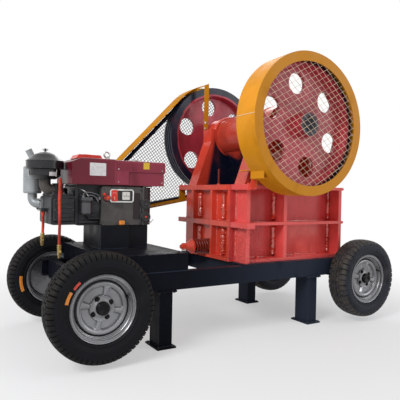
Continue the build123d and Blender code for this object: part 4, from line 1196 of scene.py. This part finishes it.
class CRUSHER_OT_crusher_trim(bpy.types.Operator):
    """Add the crusher's weld beads, bolts, studs and brackets"""
    bl_idname = "crusher.crusher_trim"
    bl_label = "Crusher welds and bolts"

    wall, front, back, bottom, ledge = 243, 985, 1846, 452, 927
    bays = ((bottom, 668), (688, 907))
    front_bays = ((bottom, 654), (688, 893))

    def welds(self, sizes, dice):
        piece = Piece("crusher_welds", "weld_red", slot="crusher_red")

        def run(start, end, scale=1.0):
            piece.bead(start, end, sizes.bead * scale, sizes.ripple * max(1.0, scale * 0.8), dice)

        def post(x, y, bay, gap, scale=1.0):
            run((x, y, bay[0] + gap), (x, y, bay[1] - gap), scale)

        for side in (-1, 1):
            wall = side * self.wall
            for bay in self.bays:
                for x, y, gap, scale in ((1295, wall + side * 8, 8, 3.0), (1817, wall + side * 6, 8, 2.2),
                                         (1336, wall, 6, 0.8), (1856, wall, 6, 0.8), (1004, wall, 4, 1.0),
                                         (976, side * 262, 8, 1.3)):
                    post(x, y, bay, gap, scale)
                for z in bay:
                    for start, end in ((1010, 1300), (1344, 1820)):
                        run((start, wall, z), (end, wall, z), 0.75)
                post(self.front, side * 215, bay, 4, 0.8)
            for z in (688, self.ledge):
                run((1000, side * 346, z), (1000, side * 420, z), 0.6)
            for y in (346, 236):
                run((990, side * y, self.ledge), (1576, side * y, self.ledge), 0.7)
        for low, high in self.front_bays:
            for y in (-31, -9):
                post(self.front, y, (low, high), 4, 0.8)
            for y in (-125, 169):
                run((976, y, low + 8), (976, y, high - 16), 3.0)
            for z in (low, high):
                run((self.front, -208, z), (self.front, -38, z), 0.75)
                run((self.front, -2, z), (self.front, 208, z), 0.75)
        for y in (-161, -139, -11, 11, 139, 161):
            for bay in self.bays:
                post(self.back, y, bay, 4, 0.8)
        for side in (-1, 1):
            seat = circle((SHAFT[0], side * 254, SHAFT[1]), 151, 150)
            radii = [sizes.bead * 0.7 * (1.0 if number % 2 else 0.82) for number in range(len(seat))]
            piece.tube(seat, radii, 6, False)
        piece.build(sharp=70)

    def bolts(self):
        piece = Piece("crusher_bolts", "dark_bolt", slot="bare_steel")
        for side in (-1, 1):
            piece.bolt_circle((SHAFT[0], side * 366, SHAFT[1]), 127, 8, 22.5, (0, side, 0), 11)
            piece.bolt_circle((SHAFT[0], side * 234, SHAFT[1]), 127, 8, 22.5, (0, -side, 0), 9)
            piece.bolt_circle((SHAFT[0], side * 392, SHAFT[1]), 82, 6, 0, (0, side, 0), 7)
        piece.bolt_rows([self.back], (-190, 190), (560, 815), RIGHT, 13, 8)
        # painted shade: the rod takes the darker copy of the crusher red
        piece.use("shaded_red")
        piece.rod((962, -78, 925), (962, -78, 1033), 7)
        piece.use("box_red")
        piece.bolt((962, -78, self.ledge), UP, 11)
        for z in (917, 678):
            for y in (-335, 335):
                piece.rod((1868, y, z), (1884, y, z), 5)
        piece.bolt_rows([1870], (-335, 335), (917, 678), RIGHT, 6)
        piece.bolt_rows((1120, 1450), (-300, 300), [self.bottom], UP, 13, 6)
        piece.bolt_rows((955, 990), (-412, 412), [self.ledge], UP, 8)
        piece.build()

    def brackets(self):
        """The bracket under the round guard, the seam across its wall, its rolled rims and its bolts."""
        piece = Piece("guard_trim", "guard_paint", slot="guard_orange")
        piece.block((959, 964), (-550, -424), (962, 1018), 1)
        piece.block((959, 990), (-550, -424), (959, 964), 1)
        piece.use("seam_pale")
        seam_x = SHAFT[0] - 440 * math.cos(math.radians(1))
        piece.tube([(seam_x, -600 + 4.3 * step, SHAFT[1] + 24) for step in range(41)], 2.2, 6)
        piece.use("guard_paint")
        for radius, y, thick in ((437.4, -600.2, 1.6), (381.0, -600.2, 1.8), (437, -428, 2.2)):
            piece.tube(circle((SHAFT[0], y, SHAFT[1]), radius, 120), thick, 6, False)
        piece.use("zinc")
        piece.bolt((985, -380, 1013), UP, 7)
        piece.bolt_rows([1109], [340], (1410, 1365), NEARWARD, 8)
        piece.use("box_red")
        piece.bolt_rows((955, 992), [-434], [902], NEARWARD, 7)
        piece.build()

    def execute(self, context):
        dice = random.Random(context.scene.crusher_studio.seed)
        self.welds(context.scene.crusher_sizes, dice)
        self.bolts()
        self.brackets()
        return {"FINISHED"}


class CRUSHER_OT_wheel_trim(bpy.types.Operator):
    """Add the shaft's end plates and the keys of both big wheels"""
    bl_idname = "crusher.wheel_trim"
    bl_label = "Shaft ends"

    def execute(self, context):
        piece = Piece("shaft_ends", "shaft_navy", body="rotor", slot="bare_steel")
        for side in (-1, 1):
            centre = Vector((SHAFT[0], side * 587, SHAFT[1]))
            out = Vector((0, side, 0))
            piece.turned(centre, out, [(45, 0), (45, 2.0), (42, 2.9), (9, 2.9), (5, -4), (0, -6)], 40)
            piece.block((SHAFT[0] - 9, SHAFT[0] + 9), tuple(sorted((side * 560, side * 589.5))),
                        (SHAFT[1] + 41, SHAFT[1] + 53), 1)
        piece.build()
        return {"FINISHED"}


class CRUSHER_OT_frame_trim(bpy.types.Operator):
    """Add the frame's weld beads, foot bolts and deck bolts"""
    bl_idname = "crusher.frame_trim"
    bl_label = "Frame welds and bolts"

    foot_top, leg_top, rail_top, deck_top = 10, 313, 427, 526

    def leg(self, run, bolts, place, middle):
        """The welds round a leg's two ends and the bolts of its plates."""
        left, right, near, far = place - 40, place + 40, middle - 60, middle + 60
        for z in (self.foot_top, self.leg_top):
            for y in (near, far):
                run((left, y, z), (right, y, z))
            for x in (left, right):
                run((x, near, z), (x, far, z))
        for dx in (-47, 47):
            for dy in (-68, 68):
                bolts.bolt((place + dx, middle + dy, self.foot_top), UP, 7)
                bolts.bolt((place + dx, middle + dy * 0.99, self.leg_top), DOWN, 7)

    def execute(self, context):
        dice = random.Random(context.scene.crusher_studio.seed + 1)
        welds = Piece("frame_welds", "frame_paint", slot="frame_black")
        bolts = Piece("frame_bolts", "dark_bolt", slot="bare_steel")

        def run(start, end, size=4.0):
            welds.bead(start, end, size, 8.0, dice)

        for place in (415, 1535):
            for side in (-1, 1):
                self.leg(run, bolts, place, side * 330)
        for side in (-1, 1):
            run((66, side * 400, self.rail_top), (541, side * 400, self.rail_top), 3.5)
            for x in (-25, 25, REAR_AXLE - 25, REAR_AXLE + 25):
                run((x, side * 362, 322), (x, side * 380, 322), 4.5)
            run((955, side * 392, self.rail_top), (1860, side * 392, self.rail_top), 3.5)
        bolts.bolt_rows((110, 300, 500), (-372, 372), [self.deck_top], UP, 9, 5)
        for start, end in (((150, -60), (325, -60)), ((325, -60), (325, -15)), ((325, -15), (470, -15)),
                           ((470, -15), (470, 270)), ((150, -60), (150, 270)), ((150, 270), (470, 270))):
            run((*start, self.deck_top), (*end, self.deck_top))
        bolts.bolt_rows((360, 450), [-4], [662], UP, 5)
        welds.build(sharp=70)
        bolts.build()
        return {"FINISHED"}


class CRUSHER_OT_hood_trim(bpy.types.Operator):
    """Add the hood's side panel, bare stickers, caps and top fittings"""
    bl_idname = "crusher.hood_trim"
    bl_label = "Hood fittings"

    def execute(self, context):
        piece = Piece("hood_fittings", "hood_paint", slot="hood_maroon")
        piece.block((232, 317), (-71.2, -60), (906, 990), 2)
        piece.block((312, 556), (-71.5, -66), (985, 991), 1.5)
        piece.block((228, 236), (-73, -60), (912, 1040), 2)
        piece.use("bare_white")
        piece.plate(rounded((73, 171), (956, 1030), 4), -72.8, -71.6)
        piece.use("bare_yellow")
        piece.plate(rounded((410, 450), (1006, 1047), 3), -72.2, -70.6)
        piece.use("zinc")
        cap = [(0, 0), (24, 0), (24, 8), (27, 9), (27, 18), (24, 20), (12, 21), (10, 24), (0, 24)]
        piece.turned((430, 120, 1052), UP, cap, 28)
        piece.turned((206, -10, 1056), UP, [(0, 0), (9, 0), (9, 10), (6, 13), (0, 13)], 16)
        for place in ((250, -70.5, 1000), (540, -70.5, 1000), (540, -65, 925), (250, -70, 925)):
            piece.bolt(place, NEARWARD, 4)
        piece.use("lid_red")
        piece.turned((102, 85, 1082), UP, [(0, 0), (34, 0), (33, 3), (28, 5), (0, 5)], 32)
        piece.build()
        eye = Piece("lifting_eye", "zinc", slot="bare_steel")
        eye.tube(circle((222, 60, 1092), 17, 36), 5.6, 12, False)
        eye.turned((222, 60, 1056), UP, [(0, 0), (13, 0), (13, 5), (9, 7), (9, 21), (0, 21)], 20)
        eye.build()
        return {"FINISHED"}


class CRUSHER_OT_gear_case_trim(bpy.types.Operator):
    """Add the speed panel, the knob, the ports and the bolts of the gear case"""
    bl_idname = "crusher.gear_case_trim"
    bl_label = "Gear case fittings"

    def panel(self):
        piece = Piece("speed_panel", "panel_silver", slot="plate_silver")
        outer = rounded((199, 351), (802, 881), 12)
        inner = rounded((207, 343), (810, 873), 7)
        piece.skin([[Vector((x, y, z)) for x, z in outline]
                    for y, outline in ((-60, outer), (-67, outer), (-68, inner), (-62.5, inner))])
        piece.use("dial_black")
        piece.plate(inner, -63.5, -61)
        piece.plate(rounded((266, 334), (814, 869), 3), -66.5, -61)
        piece.use("lid_red")
        piece.plate(rounded((209, 247), (808, 875), 9), -68.8, -61)
        piece.use("dial_white")
        piece.plate(rounded((277, 325), (818, 865), 4), -68.6, -61)
        for number in range(7):
            start, end = (around((228, -69, 846), radius, 30 + 20 * number) for radius in (12, 16))
            piece.rod(start, end, 0.7, 5)
        piece.rod((228, -70, 816), (228, -70, 836), 1.4, 6)
        piece.use("dark_bolt")
        for number in range(9):
            x = 283 + number * 4.5
            top = 846 if number % 4 == 0 else 843
            piece.plate([(x, 836), (x + 1.1, 836), (x + 1.1, top), (x, top)], -69.1, -68.4)
        piece.plate([(299, 846), (300.6, 846), (304.5, 859), (303.5, 859)], -69.4, -68.4)
        piece.bolt_rows((203, 347), [-67], (877, 806), NEARWARD, 2.6)
        piece.build("control_panel")

    def execute(self, context):
        self.panel()
        piece = Piece("gear_case_fittings", "dark_bolt", slot="bare_steel")
        rim = ((158, 690), (158, 740), (158, 790), (162, 880), (240, 676), (320, 676), (397, 676),
               (399, 750), (399, 820), (399, 878), (300, 888), (215, 888))
        for x, z in rim:
            piece.bolt((x, -60, z), NEARWARD, 5.5)
        piece.use("gear_case_grey")
        piece.plate(rounded((352, 396), (700, 860), 8), -62.5, -59)
        piece.turned((182, -59, 828), NEARWARD, [(0, 0), (22, 0), (22, 5), (19, 7), (0, 7)], 30)
        piece.use("lid_red")
        knob = [(0, 0), (16.6, 0), (17.2, 4), (17.2, 22), (15.5, 26), (11, 28.6), (0, 29.4)]
        piece.turned((182, -62, 828), NEARWARD, knob, 30)
        piece.rod((182, -80, 828), (160, -88, 846), 5)
        piece.turned((157, -88, 849), (-0.6, 0, 0.6), [(0, -9), (6, -7), (9, 0), (6, 7), (0, 9)], 18)
        piece.use("bare_orange")
        piece.block((260, 293), (-78, -58), (667, 694), 4)
        piece.use("dial_black")
        for z, hole in ((793, 15), (714, 13)):
            port = [(30.5, -3), (30.5, 1.5), (28, 2.6), (22, 2.8), (20, 0.5), (hole, 0.3), (hole - 1, -4),
                    (0, -4)]
            piece.turned((430, -76, z), NEARWARD, port, 36)
            piece.bolt_circle((430, -78.6, z), 25, 6, 15, NEARWARD, 2.6)
        piece.use("dark_bolt")
        piece.turned((430, -74, 793), NEARWARD, [(0, 0), (10, 0), (10, 6), (7, 8), (0, 8)], 6)
        piece.use("lid_red")
        piece.turned((430, -73, 714), NEARWARD, [(0, 0), (7, 0), (7, 5), (5, 7), (0, 7)], 20)
        piece.use("zinc")
        piece.rod((420, -55, 668), (466, -70, 682), 4)
        piece.rod((466, -70, 682), (480, -72, 700), 4)
        piece.bolt((438, -22, 897), UP, 7)
        piece.build()
        return {"FINISHED"}


class CRUSHER_OT_engine_trim(bpy.types.Operator):
    """Add the pump housing, fuel pipes, head cover, bands, clips and bolts of the engine"""
    bl_idname = "crusher.engine_trim"
    bl_label = "Engine fittings"

    def pump(self):
        piece = Piece("injection_pump", "block_black", slot="engine_grey")
        x, z = 112, 762
        cover = [(0, 0), (60, 0), (60, 18), (57, 22), (48, 23), (46, 27), (30, 29), (28, 34), (18, 36),
                 (0, 36)]
        piece.turned((x, -16, z), NEARWARD, cover, 48)
        piece.block((78, 148), (-46, -14), (700, 716), 4)
        piece.block((30, 150), (-40, -16), (832, 852), 4)
        piece.block((118, 146), (-52, -16), (808, 836), 4)
        piece.use("pipe_steel")
        long_pipe = [(44, -52, 832), (44, -54, 850), (56, -56, 860), (90, -56, 858), (126, -54, 848),
                     (140, -52, 836)]
        short_pipe = [(74, -50, 832), (78, -54, 842), (100, -58, 840), (118, -60, 826), (132, -60, 804)]
        piece.tube(long_pipe, 3.0, 8)
        piece.tube(short_pipe, 2.4, 8)
        piece.turned((44, -52, 828), UP, [(0, 0), (8, 0), (8, 10), (6, 12), (0, 12)], 6)
        piece.turned((140, -52, 832), DOWN, [(0, 0), (8, 0), (8, 14), (6, 16), (0, 16)], 6)
        piece.use("dark_bolt")
        piece.bolt_circle((x, -39, z), 52, 6, 20, NEARWARD, 4.5)
        piece.use("cleaner_black")
        piece.turned((62, -54, 731), UP, [(32.4, 0), (33, 2), (33, 7), (32.4, 9)], 36)
        piece.turned((62, -54, 800), UP, [(32.2, 0), (34.5, 2), (34.5, 9), (32.2, 12)], 36)
        piece.build()

    def head(self):
        piece = Piece("head_cover", "block_black", slot="engine_grey")
        piece.block((-118, 2), (-28, -16), (690, 822), 8)
        for z in (712, 738, 764, 790):
            piece.block((-104, -10), (-32, -26), (z, z + 7), 2)
        piece.block((6, 24), (-24, -14), (672, 900), 3)
        piece.block((-120, 10), (0, 240), (832, 846), 4)
        piece.turned((-30, 130, 840), UP, [(0, 0), (32, 0), (32, 34), (26, 42), (0, 44)], 24)
        piece.use("dark_bolt")
        piece.bolt_rows((-108, -8), [-28], (700, 756, 812), NEARWARD, 5.5)
        piece.bolt_rows((-110, -50, 0), (12, 226), [845], UP, 9, 6)
        piece.use("zinc")
        return_pipe = [(-30, 130, 884), (-30, 120, 896), (-20, 60, 898), (30, -20, 880), (60, -44, 862),
                       (74, -50, 836)]
        piece.tube(return_pipe, 3.2, 8)
        piece.bolt((-60, 44, 834), UP, 9)
        piece.build()

    def intake(self):
        piece = Piece("air_cleaner_trim", "cleaner_black", slot="engine_grey")
        middle = Vector((-140, 92, 0))
        for z, radius in ((992, 106.2), (1034, 106.2), (952, 88.2)):
            band = [(radius - 1, -3), (radius + 1.4, -2), (radius + 1.4, 2), (radius - 1, 3)]
            piece.turned(middle + Vector((0, 0, z)), UP, band, 72)
        piece.use("zinc")
        nut = [(0, 0), (9, 0), (9, 4), (6, 6), (5, 10), (0, 12)]
        piece.turned(middle + Vector((0, 0, 1084)), UP, nut, 16)
        wing = [(2, 1090), (16, 1098), (18, 1106), (11, 1107), (2, 1098)]
        for side in (-1, 1):
            piece.plate([(middle.x + side * x, z) for x, z in wing], 90, 94)
        for degrees in (-60, 60, 180):
            turn = math.radians(degrees)
            out = Vector((math.cos(turn), math.sin(turn), 0))
            base = middle + out * 89
            piece.rod(base + Vector((0, 0, 944)), base + out * 4 + Vector((0, 0, 984)), 3)
        piece.use("bare_white")
        turns = [math.radians(-88 + 30 * step / 8) for step in range(9)]
        piece.skin([[middle + Vector((89.6 * math.cos(turn), 89.6 * math.sin(turn), z)) for turn in turns]
                    for z in (948, 971)], False, False)
        piece.build()

    def exhaust(self):
        piece = Piece("muffler_trim", "muffler_silver", slot="muffler_grey")
        for z in (934, 862, 994):
            piece.turned((-173, 264, z), UP, [(53, -4), (55.6, -2.5), (55.6, 2.5), (53, 4)], 60)
        piece.use("dark_bolt")
        piece.bolt_rows([-142], (188, 254), (754, 804), LEFT, 6, 5)
        piece.build()

    def block(self):
        piece = Piece("block_bolts", "dark_bolt", slot="engine_grey")
        piece.bolt_rows((180, 300, 440), [250], (690, 870), FARWARD, 8)
        piece.bolt_rows([460], (20, 120, 220), (700, 780, 860), RIGHT, 7)
        piece.use("block_black")
        piece.block((458, 466), (10, 232), (690, 872), 4)
        piece.block((30, 150), (-30, -16), (676, 696), 5)
        piece.build()

    def execute(self, context):
        self.pump()
        self.head()
        self.intake()
        self.exhaust()
        self.block()
        return {"FINISHED"}


class CRUSHER_PT_panel(bpy.types.Panel):
    """The crusher's colours, sizes and steps"""
    bl_idname = "CRUSHER_PT_panel"
    bl_label = "Mobile jaw crusher"
    bl_space_type = "VIEW_3D"
    bl_region_type = "UI"
    bl_category = "Crusher"

    def draw(self, context):
        layout = self.layout
        for group in (context.scene.crusher_colours, context.scene.crusher_sizes,
                      context.scene.crusher_studio):
            box = layout.box()
            for key in group.__annotations__:
                box.prop(group, key)
        for step in STEPS:
            layout.operator(step.bl_idname)


GROUPS = {
    "crusher_colours": CrusherColours,
    "crusher_sizes": CrusherSizes,
    "crusher_studio": StudioSettings,
}
STEPS = [CRUSHER_OT_stage, CRUSHER_OT_paints, CRUSHER_OT_cables, CRUSHER_OT_tyres, CRUSHER_OT_rims,
         CRUSHER_OT_guard_mesh, CRUSHER_OT_crusher_trim, CRUSHER_OT_wheel_trim, CRUSHER_OT_frame_trim,
         CRUSHER_OT_hood_trim, CRUSHER_OT_gear_case_trim, CRUSHER_OT_engine_trim]


def register():
    for part in [*GROUPS.values(), *STEPS, CRUSHER_PT_panel]:
        bpy.utils.register_class(part)
    for name, group in GROUPS.items():
        setattr(bpy.types.Scene, name, PointerProperty(type=group))


def unregister():
    for name in GROUPS:
        delattr(bpy.types.Scene, name)
    for part in reversed([*GROUPS.values(), *STEPS, CRUSHER_PT_panel]):
        bpy.utils.unregister_class(part)


def main():
    """Dresses the whole machine."""
    register()
    for step in STEPS:
        group, name = step.bl_idname.split(".")
        getattr(getattr(bpy.ops, group), name)()


if __name__ == "__main__":
    main()
